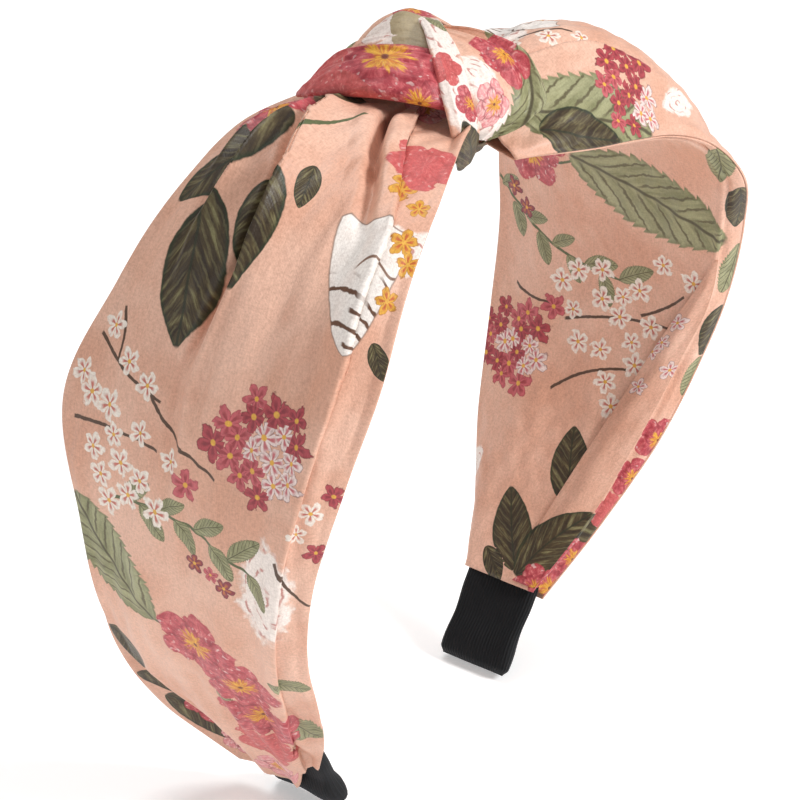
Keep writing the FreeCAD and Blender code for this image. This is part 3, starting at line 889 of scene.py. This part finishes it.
def bud_motif(g, place_vec, cloth):
    """White bud, x 0..1 from its scalloped top to its point, with curved brown strokes."""
    x0, y, code = g.split(place_vec)
    rough = (g.noise(cloth, 0.5, 2.0) - 0.5)
    x = g.min(g.max(x0 + 0.12, 0.0005), 0.9995)
    width = g.pow(x, 0.22) * g.pow(1.0 - x, 0.66) * 0.50 + rough * 0.015
    side = g.abs(y + 0.05 * x)
    top = x0 - 0.05 * g.abs(g.sin(y * 11.0 + 0.6)) - y * y * 0.5 + 0.06
    mask = g.smooth(0.0, 0.02, width - side) * g.smooth(0.0, 0.012, top) * g.smooth(1.0, 0.98, x0)
    rows = (x0 - y * y * 1.2 + y * 0.3 + rough * 0.05) * 9.5
    stroke = g.smooth(0.17, 0.09, g.abs(g.frac(rows) - 0.5))
    broken = g.noise(g.join(g.floor(rows) * 3.1, y * 4.0, 0.0), 1.0, 0.0)
    part = g.smooth(0.34, 0.40, x0) * g.smooth(0.40, 0.46, broken)
    colour = g.mix(g.smooth(0.4, 0.8, g.noise(cloth, 0.25, 1.0)) * 0.5, rgb("fbf3ec"), rgb("efdfd6"))
    outline = g.max(g.smooth(0.026, 0.012, width - side), g.smooth(0.022, 0.010, top))
    lobe = g.abs(x0 - 0.30 - 0.05 * g.sin(y * 18.0))
    return g.tint(colour, (stroke * part, "6b4a38"), (outline * 0.9, "7a5a48"),
                  (g.smooth(0.014, 0.006, lobe) * g.smooth(0.05, 0.0, y), "8a6a58")), mask


def patch_motif(g, place_vec, cloth):
    """Loose brushed patch, code 0 white, 1 rose wash, 2 sage wash."""
    x, y, code = g.split(place_vec)
    r = polar(g, x, y)[0]
    rough = (g.noise(cloth, 0.30, 3.0, 0.6) - 0.5)
    mask = g.smooth(0.92, 0.72, r + rough * 0.8)
    washed = g.smooth(0.4, 0.6, g.floor(code))
    wash = g.mix(g.noise(cloth, 0.5, 2.0), rgb("8d8f66"), rgb("a9a884"))
    colour = g.mix(washed, rgb("fbf0e8"), g.mix(g.above(code, 2.0), rgb("f0b7a0"), wash))
    arcs = (g.smooth(0.16, 0.05, g.abs(g.frac(r * 3.2 + y * 0.6 + rough) - 0.5))
            * g.smooth(0.45, 0.6, g.noise(cloth, 0.4, 1.0)))
    return g.tint(colour, (arcs * (1.0 - washed) * 0.75, "b5554a")), mask * (0.94 - washed * 0.20)


def stem_motif(g, place_vec, cloth):
    """Stroke: x 0..1 along, y in mm, z = bend in mm + 100 * colour (0 brown, 1 green, 2 red)."""
    x, y, code = g.split(place_vec)
    kind = g.floor((code + 50.0) / 100.0)
    bend = code - kind * 100.0
    rough = (g.noise(cloth, 0.8, 1.0) - 0.5) * 0.35
    off = g.abs(y - bend * 4.0 * x * (1.0 - x) + rough)
    wide = 0.27 + 0.10 * (1.0 - x)
    mask = g.smooth(0.10, -0.06, off - wide) * g.smooth(0.0, 0.02, x) * g.smooth(1.0, 0.98, x)
    return g.pick(kind, (rgb("5a4232"), rgb("5f6845"), rgb("a8353f"), rgb("7a5a45"))), mask


MOTIFS = {kind: group("motif_" + kind, build) for kind, build in (
    ("patch", patch_motif), ("stem", stem_motif), ("leaf", leaf_motif), ("bud", bud_motif),
    ("bloom", bloom_motif), ("flower", flower_motif))}
# drawn in this order, each layer over the ones before it
LAYERS = (("patch", "patch"), ("stem_a", "stem"), ("stem_b", "stem"), ("leaf_a", "leaf"),
          ("leaf_b", "leaf"), ("bud", "bud"), ("bloom_a", "bloom"), ("flower", "flower"),
          ("bloom_b", "bloom"))
FAR = (9.0, 9.0, 0.0)       # a place outside every motif


class Surface:
    """A new material, its nodes and its shader."""

    def __init__(self, name, **inputs):
        self.mat = bpy.data.materials.new(name)
        self.mat.use_nodes = True
        self.net = Net(self.mat.node_tree)
        self.shader = self.mat.node_tree.nodes["Principled BSDF"]
        for key, value in inputs.items():
            self.set(key.replace("_", " "), value)

    def set(self, key, value):
        self.net.plug(self.shader.inputs[key], value)

    def relief(self, strength, distance, height):
        node = self.net.node("ShaderNodeBump")
        node.inputs["Strength"].default_value = strength
        node.inputs["Distance"].default_value = distance
        self.net.plug(node.inputs["Height"], height)
        self.set("Normal", Val(self.net, node.outputs["Normal"]))


def print_satin(name, ground, layers):
    """Satin with the printed motifs of the named layers, its weave, slubs and faint creases, and painted
    shade in the weave's hollows.
    """
    skin = Surface(name, Specular_IOR_Level=0.42, Sheen_Weight=0.06, Sheen_Roughness=0.35,
                   Sheen_Tint=(1.0, 0.93, 0.9))
    g = skin.net
    cloth = g.attribute("cloth")
    u, v, _ = g.split(cloth)
    mottled = g.noise(cloth, 0.045, 3.0, 0.6)
    colour = g.mix(g.smooth(0.35, 0.65, mottled), *ground)
    for layer, kind in LAYERS:
        if layer not in layers:
            continue
        node = g.node("ShaderNodeGroup", node_tree=MOTIFS[kind])
        g.plug(node.inputs["Place"], g.attribute(layer))
        g.plug(node.inputs["Cloth"], cloth)
        colour = g.mix(Val(g, node.outputs["Mask"]), colour, Val(g, node.outputs["Color"]))
    # weave: fine crepe yarns, a faint twill and a few slubs
    yarn = g.noise(g.join(u * 2.3, v * 1.2, 0.0), 1.0, 3.0, 0.75)
    cross = g.noise(g.join(u * 0.8, v * 3.0, 3.0), 1.0, 2.0, 0.7)
    twill = g.sin((u + v * 0.9) * 12.0)
    grain = yarn * 0.6 + cross * 0.4
    shade = g.smooth(0.30, 0.70, grain)
    # the colour is darkened in the weave's low spots: partly yarn tone, partly painted shade in the hollows
    # of the bump below
    colour_out = g.node("ShaderNodeMix", data_type="RGBA", blend_type="MULTIPLY")
    colour_out.inputs[0].default_value = 1.0
    g.plug(colour_out.inputs[6], colour)
    g.plug(colour_out.inputs[7], g.mix(shade, (0.72, 0.70, 0.69), (1.0, 1.0, 1.0)))
    skin.set("Base Color", Val(g, colour_out.outputs[2]))
    skin.set("Roughness", 0.36 + 0.20 * shade)
    crease = g.noise(g.join(u * 0.10, v * 0.16, 5.0), 1.0, 3.0, 0.55)
    skin.relief(0.55, 0.001, grain * 0.22 + twill * 0.008 + crease * 1.1)
    return skin.mat


REACH = 1.35                # how far past its outline a motif is still looked for
PATCH_SHAPE = 0.55          # a patch's height over its width


def paint(mesh, points, motifs):
    """Writes each motif layer: per face, the local place of the motif nearest to it."""
    corner = points[corner_vertices(mesh)]
    centre = corner.reshape(-1, 4, 2).mean(1)
    used = []
    for layer, kind in LAYERS:
        chosen = [m for m in motifs if m[0] == layer]
        if not chosen:
            continue
        used.append(layer)
        best = np.full(len(centre), REACH)
        out = np.tile(np.array(FAR), (len(corner), 1))
        for _, base, tip, code in chosen:
            base, tip = np.asarray(base, float), np.asarray(tip, float)
            axis = tip - base
            length = np.linalg.norm(axis)
            ex = axis / length
            ey = np.array([-ex[1], ex[0]])

            def local(p):
                q = p - base
                return q @ ex / length, q @ ey / (1.0 if kind == "stem" else length)

            x, y = local(centre)
            if kind in ("bloom", "flower", "patch"):
                squash = 1 / PATCH_SHAPE if kind == "patch" else 1.0
                d = np.hypot(x, y * squash)
            elif kind == "stem":
                bend = code - 100 * math.floor((code + 50) / 100)
                line = bend * 4 * x * (1 - x)
                d = np.maximum(np.abs(x - 0.5) / 0.5, 0) * 0.9 + np.abs(y - line) / 6
            else:
                d = np.hypot((x - 0.5) / 0.5, y / (0.5 if kind == "bud" else 0.34)) * 0.8
            take = d < best
            best[take] = d[take]
            xs, ys = local(corner)
            if kind == "patch":
                ys = ys * squash
            mask = np.repeat(take, 4)
            out[mask] = np.stack([xs, ys, np.full(len(xs), float(code))], 1)[mask]
        set_vectors(mesh, layer, "CORNER", out)
    return used


def disc(layer, at, radius, code, turn=0.0):
    """Round motif: its x axis points along turn."""
    at = np.asarray(at, float)
    return (layer, at, at + radius * np.array([math.cos(turn), math.sin(turn)]), code)


def floret_cluster(centre, radii, count, seed, size=3.8, white=(0.25, -0.3)):
    """Packed florets that fill an oval: white ones round the point white, red ones outside it."""
    rng = np.random.default_rng(seed)
    out = []
    golden = math.pi * (3 - math.sqrt(5))
    for k in range(count):
        r = math.sqrt((k + 0.5) / count)
        a = k * golden + seed
        spot = np.array([r * math.cos(a), r * math.sin(a)]) + rng.uniform(-0.08, 0.08, 2)
        pale = np.hypot(*(spot - white)) < 0.62
        kind = 2 if pale and rng.random() < 0.85 else (1 if rng.random() < 0.6 else 3)
        at = np.array(centre) + spot * radii
        out.append(disc("bloom_b", at, size * rng.uniform(0.85, 1.2), kind + rng.uniform(0.02, 0.95)))
    return out


def spray(points, seed, size=3.0, layer="bloom_a", kind=0):
    rng = np.random.default_rng(seed)
    return [disc(layer, p, size * rng.uniform(0.85, 1.15), kind + rng.uniform(0.02, 0.95)) for p in points]


def sprig(start, end, bend, leaves, seed, colour=1, kind=1, size=8.0):
    """Curved stem with small leaves set along it, alternately."""
    start, end = np.asarray(start, float), np.asarray(end, float)
    axis = end - start
    length = np.linalg.norm(axis)
    ex = axis / length
    ey = np.array([-ex[1], ex[0]])
    rng = np.random.default_rng(seed)
    out = [("stem_a", start, end, bend + 100 * colour)]
    for k in range(leaves):
        t = (k + 0.8) / (leaves + 0.3)
        at = start + axis * t + ey * bend * 4 * t * (1 - t)
        side = 1 if k % 2 else -1
        angle = side * rng.uniform(0.6, 1.0)
        way = ex * math.cos(angle) + ey * math.sin(angle)
        out.append(("leaf_b" if k % 2 else "leaf_a", at, at + way * size * rng.uniform(0.8, 1.2),
                    kind + rng.uniform(0.02, 0.95)))
    return out


# --- The print, with one patch that is partly painted highlight: every motif by its place (length from the crown, distance across) in mm ---
DARK, SAGE = 0, 1
BROWN, GREEN, RED = 0, 1, 2

LEFT_PRINT = [
    disc("flower", (31, 16), 9.5, 0.3, 0.4),
    ("leaf_a", (34, 9), (56, 22), DARK + 0.62),
    ("leaf_b", (53, 13), (80, 8.5), DARK + 0.18),
    ("leaf_a", (47, 2.5), (67, -2.2), DARK + 0.41),
    ("leaf_b", (45, -4.5), (52.5, -7.0), DARK + 0.83), ("leaf_b", (21, 2), (29, 16), DARK + 0.9),
    ("stem_a", (28, -3), (46, 1), 1.5 + 100 * GREEN),
    ("bud", (49, -22), (74, -27), 0.3),
    disc("flower", (33, -20), 8.0, 2.6, 2.0), disc("patch", (51, -29), 9.0, 0.8, 1.3),
    *spray([(41, -21), (43, -26), (50, -28), (53, -30.5), (60, -30.5)], 41, 2.9, kind=4),
    # white sprays at the back and their forked stems
    *spray([(80, 24), (85, 18), (88, 13), (93, 26), (94, 21), (99, 19), (97, 13), (103, 24), (108, 22),
            (106, 12), (110, 15), (111, 8), (100, 5), (104, 17), (90, 29), (113, 20)], 12, 3.4),
    ("stem_b", (82, 27), (90, 9), 1.0 + 100 * BROWN),
    ("stem_a", (76, 23), (86, 21), -0.8 + 100 * BROWN),
    ("stem_a", (88, 13), (98, -2), 1.2 + 100 * BROWN),
    ("stem_b", (99, 30), (99, 8), -1.0 + 100 * BROWN),
    ("stem_a", (96, 5), (100, -6), -0.6 + 100 * BROWN),
    # the close cluster of florets by the crease
    *floret_cluster((91, -14.5), (9.0, 10.5), 19, 7),
    disc("bloom_a", (103, 1), 3.9, 3.35, 0.3),
    # sprig and berries
    *sprig((112, 20), (119, -15), -4.5, 8, 23, colour=GREEN),
    disc("bloom_b", (119, -1), 2.6, 5.3), disc("bloom_b", (122, -8), 2.6, 5.6),
    disc("bloom_b", (120, -5), 2.2, 3.3),
    ("leaf_a", (139, 12), (114, 31), SAGE + 0.27),
    ("stem_b", (138, 13), (139, 4), 0.5 + 100 * GREEN),
    disc("patch", (121, -17), 13.5, 0.4, 0.1),
    # large flowers towards the tip
    disc("flower", (142, 3), 10.0, 0.15, 0.7), disc("flower", (153, -4), 10.0, 0.55, 1.9),
    disc("flower", (167, -4), 10.5, 0.75, 2.9), disc("flower", (182, -1), 9.0, 2.35, 0.9),
    disc("flower", (196, 2), 6.5, 1.5, 0.9), ("leaf_a", (158, 3), (166, 1), SAGE + 0.5),
    ("leaf_b", (149, 31), (163, 26), DARK + 0.5),
    disc("bloom_b", (97, -29), 3.0, 1.4), disc("bloom_b", (101, -26), 3.0, 0.6),
    disc("bloom_b", (110, -26), 3.0, 1.8), disc("bloom_b", (106, -24), 2.6, 0.3),
    ("stem_b", (112, -20), (124, -24), 1.0 + 100 * BROWN),
    ("leaf_b", (146, -13), (152, -21), SAGE + 0.8), ("leaf_a", (163, -9), (177, -16), SAGE + 0.33),
    ("leaf_b", (67, -31), (73, -36), DARK + 0.2),
    # under the knot
    ("leaf_b", (8, 6), (22, 14), DARK + 0.7), disc("flower", (12, -6), 6, 1.2, 0.4),
]

RIGHT_INSIDE_PRINT = [
    disc("flower", (88, 17), 9.5, 0.35, 0.2), disc("flower", (79, 12), 7.5, 0.7, 1.2),
    ("leaf_a", (83, 6), (96, -33), SAGE + 0.37),
    ("stem_a", (88, 12), (84, 4), 0.5 + 100 * GREEN),
    *sprig((99, 30), (113, -10), 4.0, 9, 31, colour=GREEN),
    disc("bloom_b", (100, 23), 3.0, 5.2), disc("bloom_b", (104, 19), 3.0, 5.7),
    *spray([(118, 7), (112, -3), (114, -13), (119, -4), (106, -18), (122, -9), (122, -17), (131, -6),
            (124, 3), (108, -26), (137, -19), (138, -9), (127, -22), (117, -9), (127, -13), (114, 3),
            (132, -15), (143, -12), (131, 0)], 14, 3.3),
    ("stem_b", (127, 5), (121, -26), -2.0 + 100 * BROWN),
    ("stem_a", (120, -14), (112, -24), 0.7 + 100 * BROWN),
    ("stem_b", (144, 4), (133, -20), -3.0 + 100 * BROWN),
    ("stem_a", (123, 20), (124, 8), 1.0 + 100 * BROWN),
    *floret_cluster((137, 17), (9.5, 9.5), 19, 9),
    disc("bloom_a", (125, 8), 3.9, 3.35, 0.9),
    ("leaf_b", (168, -11), (150, -5), DARK + 0.3),
    ("leaf_a", (186, -4), (168, 5), DARK + 0.6), ("leaf_b", (187, -4), (167, -19), DARK + 0.8),
    ("leaf_a", (183, 6), (190, -1), DARK + 0.45),
    disc("flower", (187, -11), 7.5, 0.4, 0.1), disc("flower", (179, -19), 6.0, 0.1, 2.0),
    disc("patch", (166, 22), 5.0, 0.3, 0.4),
    # the edge strip
    ("leaf_b", (62, -36), (76, -33), SAGE + 0.5), ("leaf_a", (78, -37), (92, -34), DARK + 0.7),
    ("leaf_b", (97, -34), (110, -31.5), SAGE + 0.1), ("leaf_a", (113, -32), (126, -28), DARK + 0.2),
    ("leaf_b", (126, -29), (136, -26), SAGE + 0.9),
    disc("flower", (147, -24), 6.0, 0.3, 0.3), disc("flower", (157, -22), 5.5, 0.9, 1.3),
    disc("flower", (166, -19), 5.0, 2.1, 2.3),
]

RIGHT_FOLD_PRINT = [
    *spray([(118, -24), (124, -21), (130, -24), (127, -17), (136, -18)], 15, 2.8, kind=2),
    ("leaf_a", (187, -4), (167, -19), DARK + 0.8), disc("flower", (188, -11), 6.5, 0.4, 0.1),
]

RIGHT_PRINT = [
    # the large white patch on the crown is partly print and partly a painted highlight where the crown faces
    # the light
    disc("patch", (27, 4), 15, 0.35, 0.4), ("bud", (36, -4), (24, 10), 0.6),
    *spray([(27, -8), (33, -12), (21, -3), (17, 4), (23, 3), (39, 1), (13, -8)], 51, 2.7),
    *floret_cluster((34, -23.5), (9, 7), 14, 4, size=3.5),
    ("leaf_a", (3, -15), (37, -31), SAGE + 0.22),
    ("leaf_b", (5, -21), (24, -30), DARK + 0.55),
    ("stem_a", (15, 9), (28, -2), 1.0 + 100 * BROWN), ("stem_b", (20, -2), (33, -10), 1.0 + 100 * BROWN),
    ("leaf_b", (44, 12), (66, 4), SAGE + 0.4), ("leaf_a", (56, -12), (78, -22), DARK + 0.5),
    disc("flower", (62, -6), 8, 1.4, 0.4), disc("patch", (52, -27), 7, 0.8, 0.2),
    *spray([(74, 10), (80, 4), (85, 14), (79, -4), (90, 6), (92, 18), (97, 10)], 52, 3.0),
    ("stem_a", (72, 16), (92, 2), 1.5 + 100 * BROWN),
    *floret_cluster((98, -14), (10, 10), 23, 5),
    *sprig((112, 20), (122, -16), 4.0, 8, 24, colour=GREEN),
    ("leaf_a", (150, 14), (127, 26), SAGE + 0.7),
    disc("flower", (146, -4), 9, 0.2, 0.4), disc("flower", (160, 4), 8.5, 0.7, 1.4),
    ("leaf_b", (163, -10), (184, -4), DARK + 0.7), disc("flower", (180, 6), 6, 1.3, 0.2),
]

LEFT_INSIDE_PRINT = [
    disc("flower", (70, 8), 9, 0.35, 0.2), ("leaf_a", (58, -12), (82, -24), SAGE + 0.5),
    *sprig((86, 20), (100, -14), 4.0, 8, 33, colour=GREEN),
    *spray([(108, 10), (112, -3), (104, -14), (118, 4), (116, -12), (110, 20)], 16, 3.0),
    *floret_cluster((132, -3), (10, 10), 23, 19), ("leaf_b", (152, 12), (176, 4), DARK + 0.4),
    ("leaf_a", (30, 6), (52, 14), DARK + 0.6), disc("flower", (38, -14), 8, 1.6, 0.7),
    disc("flower", (166, -6), 7, 0.2, 0.5), disc("bloom_a", (26, -4), 3.5, 3.3),
]

LEFT_BACK_PRINT = [
    ("leaf_a", (158, 27), (170, 23), DARK + 0.3), ("leaf_b", (170, 29), (184, 21), DARK + 0.6),
    ("leaf_a", (181, 27), (197, 15), DARK + 0.9),
    disc("flower", (186, 19), 6, 0.4, 0.3), ("leaf_b", (152, 26), (162, 22), DARK + 0.9),
    disc("flower", (196, 14), 5, 1.3, 0.4),
]

FRONT_WRAP_PRINT = [
    disc("flower", (22, 1), 13.5, 0.3, 0.5), disc("flower", (6, 2), 12.0, 2.75, 1.5),
    disc("flower", (35, 5), 9.0, 1.2, 2.4), disc("flower", (14, -9), 10.0, 2.5, 0.3),
    disc("flower", (29, -9), 8.0, 0.6, 0.9), disc("patch", (41, -5), 11, 0.4, 0.6),
    ("leaf_a", (3, 3), (-6, -3), DARK + 0.4),
]
BACK_FOLD_PRINT = [("leaf_a", (2, 0), (15, 2), SAGE + 0.4), disc("patch", (20, 0), 6, 0.3, 0.2),
                   disc("flower", (9, -4), 4, 0.2, 0.2)]
TOP_LOBE_PRINT = [disc("patch", (3, 0), 21, 0.5, 0.0), disc("patch", (17, 0), 20, 2.5, 0.0)]
TOP_BACK_PRINT = [("leaf_b", (3, 0), (20, 5), SAGE + 0.3), disc("flower", (16, -6), 6, 0.2, 0.4),
                  disc("patch", (8, 8), 6, 0.3, 0.9)]
CROSS_PRINT = [
    disc("patch", (10, 0), 11, 0.4, 0.1), disc("patch", (25, 0), 12, 0.7, 0.1),
    disc("flower", (21, -2), 4.2, 2.4, 0.4), disc("flower", (28, 2), 4.2, 0.5, 0.4),
    ("leaf_a", (52, 1), (31, -1), DARK + 0.4), ("leaf_b", (2, 0), (10, 2), SAGE + 0.7),
]
FAN_PRINT = [
    disc("flower", (13, 2), 6.5, 0.3, 0.4), disc("flower", (21, -6), 5.0, 1.4, 1.4),
    ("leaf_a", (9, 10), (33, 2), SAGE + 0.3), ("leaf_b", (6, 5), (19, 13), SAGE + 0.6),
    disc("patch", (27, -4), 11, 0.3, 0.4), disc("patch", (15, -8), 9, 0.6, 0.3),
]
UNDER_PRINT = [disc("flower", (20, 0), 7, 0.4, 0.4), ("leaf_b", (-6, -2), (11, 3), DARK + 0.6),
               ("leaf_a", (28, 0), (40, 3), DARK + 0.4)]
TAIL_PRINT = [("leaf_a", (13, 0), (-2, 0), DARK + 0.3)]

GROUND = ((0.74, 0.395, 0.272), (0.84, 0.515, 0.385))


def dress(obj, motifs, spot=None):
    """Writes the motifs on a piece and gives it the printed satin."""
    mesh = obj.data
    placed = []
    for layer, base, tip, code in motifs:
        base, tip = np.asarray(base, float), np.asarray(tip, float)
        if spot is not None:
            start = spot(*base)
            tip = start + (tip - base) if layer.startswith(("bloom", "flower", "patch")) else spot(*tip)
            base = start
        placed.append((layer, base, tip, code))
    used = paint(mesh, cloth_places(mesh), placed)
    mesh.materials.append(print_satin(obj.name + "_satin", GROUND, used))


for cloth, motifs in ((left_panel, LEFT_PRINT), (left_lining, LEFT_INSIDE_PRINT),
                      (left_back, LEFT_BACK_PRINT), (right_panel, RIGHT_PRINT),
                      (right_lining, RIGHT_INSIDE_PRINT), (right_fold, RIGHT_FOLD_PRINT)):
    dress(cloth.obj, motifs, cloth.spot)
for piece, motifs in ((front_wrap, FRONT_WRAP_PRINT), (back_fold, BACK_FOLD_PRINT),
                      (top_lobe, TOP_LOBE_PRINT), (top_back, TOP_BACK_PRINT),
                      (cross_wrap, CROSS_PRINT), (fan, FAN_PRINT), (under_wrap, UNDER_PRINT),
                      (tail, TAIL_PRINT)):
    dress(piece, motifs)


# --- Black ribbed ribbon and the moulded core ---
def grosgrain(name):
    """Black ribbed ribbon with fuzzy yarns, a painted highlight on every rib crest and a little wear in
    patches.
    """
    skin = Surface(name, Specular_IOR_Level=0.25, Sheen_Weight=0.06, Sheen_Roughness=0.4,
                   Sheen_Tint=(0.75, 0.82, 1.0))
    g = skin.net
    cloth = g.attribute("cloth")
    u, v, _ = g.split(cloth)
    rib = g.abs(g.sin(v * (math.pi / RIB_PITCH)))
    yarn = g.sin(u * 16.0 + g.floor(v / RIB_PITCH) * 3.1)
    fuzz = g.noise(cloth, 3.0, 3.0, 0.7)
    wear = g.smooth(0.45, 0.75, g.noise(cloth, 0.22, 3.0))
    colour = g.mix(g.smooth(0.3, 0.8, fuzz), rgb("030303"), rgb("08080a"))
    # painted highlight: every rib crest is lightened; the wear noise adds real patchy wear on top
    skin.set("Base Color", g.tint(colour, (g.smooth(0.35, 0.95, rib) * 0.7, "121418"),
                                  (wear * 0.25, "101113")))
    skin.set("Roughness", 0.62 + 0.2 * fuzz)
    skin.relief(0.5, 0.001, rib * 0.12 + yarn * 0.02 + fuzz * 0.05)
    return skin.mat


def moulded(name):
    """Matt ivory plastic with flow marks, fine grain and light scuffs."""
    skin = Surface(name)
    g = skin.net
    where = g.node("ShaderNodeTexCoord")
    pos = Val(g, where.outputs["Object"])
    cloudy = g.noise(pos, 60.0, 3.0)
    grain = g.noise(pos, 2400.0, 2.0)
    scuff = g.smooth(0.62, 0.7, g.noise(pos, 420.0, 4.0, 0.7))
    colour = g.mix(cloudy, rgb("d9cdb8"), rgb("e6dccb"))
    skin.set("Base Color", g.tint(colour, (scuff * 0.3, "b9ad99")))
    skin.set("Roughness", 0.38 + 0.2 * cloudy + 0.2 * scuff)
    skin.relief(0.25, 0.0004, grain + scuff * 0.5)
    return skin.mat


for piece in (left_ribbon, right_ribbon):
    piece.data.materials.append(grosgrain(piece.name + "_grosgrain"))
core_plastic = moulded("core_plastic")
for name in ("core_crown", "left_core", "right_core"):
    for obj in bpy.data.objects:
        if obj.type == "MESH" and obj.name.split(".")[0] == name:
            obj.data.materials.clear()
            obj.data.materials.append(core_plastic)


# --- Panels and linings baked in place, the other pieces attached to a body, and the CAD nodes each piece stands for ---
FLEX_FROM, FLEX_TO = 24.0, 46.0


def flex_points(side):
    a, b = place(side, FLEX_FROM, 0.0, 0.0) * MM, place(side, FLEX_TO, 0.0, 0.0) * MM
    return tuple(float(q) for q in a), (float(b[0]), float(a[1]), float(a[2]))


for obj, side, arm in ((left_panel.obj, -1, "left_arm"), (left_lining.obj, -1, "left_arm"),
                       (right_panel.obj, 1, "right_arm"), (right_lining.obj, 1, "right_arm")):
    flex_points(side)
    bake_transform(obj)
for obj, arm in ((left_back.obj, "left_arm"), (right_fold.obj, "right_arm"),
                 (left_ribbon, "left_arm"), (right_ribbon, "right_arm")):
    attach(obj, arm)
KNOT_PIECES = (front_wrap, back_fold, top_lobe, top_back, cross_wrap, fan, under_wrap, tail)
for obj in KNOT_PIECES:
    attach(obj, "crown")

for obj, *nodes in (
        (left_panel.obj, "left_outer_panel", "left_front_strip", "crown_gather"),
        (left_lining.obj, "left_lining", "crown_lining"), (left_back.obj, "left_back_fold"),
        (right_panel.obj, "right_outer_panel", "crown_right_panel"),
        (right_lining.obj, "right_lining", "right_edge_strip"), (right_fold.obj, "right_inner_fold"),
        (left_ribbon, "left_tip_sleeve"), (right_ribbon, "right_tip_sleeve"),
        (front_wrap, "knot_front_wrap"), (top_lobe, "knot_top_lobe"), (top_back, "knot_core_roll"),
        (cross_wrap, "knot_cross_wrap"), (fan, "knot_fan_lobe"), (under_wrap, "knot_under_wrap"),
        (tail, "knot_tail")):
    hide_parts(*nodes)


def flat_cut(obj):
    """Width, length and area of the piece of cloth a mesh was cut from, in metres."""
    flat = cloth_places(obj.data) * MM
    q = flat[corner_vertices(obj.data)].reshape(-1, 4, 2)
    d1, d2 = q[:, 2] - q[:, 0], q[:, 3] - q[:, 1]
    area = np.abs(d1[:, 0] * d2[:, 1] - d1[:, 1] * d2[:, 0]).sum() / 2
    length, width = np.ptp(flat, 0)
    return (float(width), float(length)), float(area)


for obj, held, rests_on in (
        (left_panel.obj, "gathered", ("left_core",)), (right_panel.obj, "gathered", ("right_core",)),
        (left_lining.obj, "stretched", ("left_core",)), (right_lining.obj, "stretched", ("right_core",)),
        (left_back.obj, "folded", (left_lining.obj,)), (right_fold.obj, "folded", (right_lining.obj,)),
        *((piece, "folded", (left_panel.obj, right_panel.obj)) for piece in KNOT_PIECES if piece != tail)):
    cut, area = flat_cut(obj)

# --- Floor, light and camera ---
AZIMUTH, ELEVATION, ROLL = math.radians(32.58), math.radians(28.73), math.radians(3.67)
DISTANCE, LENS, SENSOR_WIDTH = 0.7664, 162.3, 36
AIM = Vector((0.4, 2.6, 73.3)) * MM
OFFSET = (3.02 * MM, -8.52 * MM)

forward = Vector((math.cos(AZIMUTH) * math.cos(ELEVATION), math.sin(AZIMUTH) * math.cos(ELEVATION),
                  -math.sin(ELEVATION)))
right = Vector((math.sin(AZIMUTH), -math.cos(AZIMUTH), 0))
up = right.cross(forward)
right, up = (math.cos(ROLL) * right + math.sin(ROLL) * up,
             -math.sin(ROLL) * right + math.cos(ROLL) * up)
cam_data = bpy.data.cameras.new("camera")
cam_data.lens = LENS
cam_data.sensor_width = SENSOR_WIDTH
cam_data.clip_start = 0.01
cam = link(bpy.data.objects.new("camera", cam_data))
cam.matrix_world = Matrix.Translation(AIM - forward * DISTANCE - right * OFFSET[0] - up * OFFSET[1]) \
    @ Matrix((right, up, -forward)).transposed().to_4x4()
bpy.context.scene.camera = cam

FLOOR_HALF, FLOOR_Z = 3.0, -0.0006
floor_mesh = bpy.data.meshes.new("floor")
floor_mesh.from_pydata([(x * FLOOR_HALF, y * FLOOR_HALF, 0)
                        for x, y in ((-1, -1), (1, -1), (1, 1), (-1, 1))], [], [(0, 1, 2, 3)])
floor = link(bpy.data.objects.new("floor", floor_mesh))
floor.location.z = FLOOR_Z
# white paper sweep, lit a little from within so that it reads as pure white
floor.data.materials.append(Surface("floor", Base_Color=(0.96, 0.96, 0.96), Roughness=0.7,
                                    Emission_Color=(1, 1, 1), Emission_Strength=0.3).mat)

world = bpy.data.worlds.new("studio")
bpy.context.scene.world = world
world.use_nodes = True
sky = world.node_tree.nodes["Background"]
sky.inputs["Color"].default_value = (1, 1, 1, 1)
sky.inputs["Strength"].default_value = 0.34


def area_light(name, place_at, look_at, size, power):
    data = bpy.data.lights.new(name, "AREA")
    data.shape = "RECTANGLE"
    data.size, data.size_y = size
    data.energy = power
    obj = link(bpy.data.objects.new(name, data))
    obj.location = place_at
    obj.rotation_euler = (Vector(look_at) - Vector(place_at)).to_track_quat("-Z", "Y").to_euler()
    return obj


area_light("key", (0.15, -0.75, 0.62), (0, 0, 0.1), (0.25, 0.25), 7.0)
area_light("fill", (-0.75, 0.1, 0.35), (0, 0, 0.06), (0.5, 0.4), 0.9)
area_light("top", (0.12, 0.25, 0.9), (0, 0, 0.1), (0.4, 0.4), 3.2)
bpy.context.scene.view_settings.view_transform = "Standard"
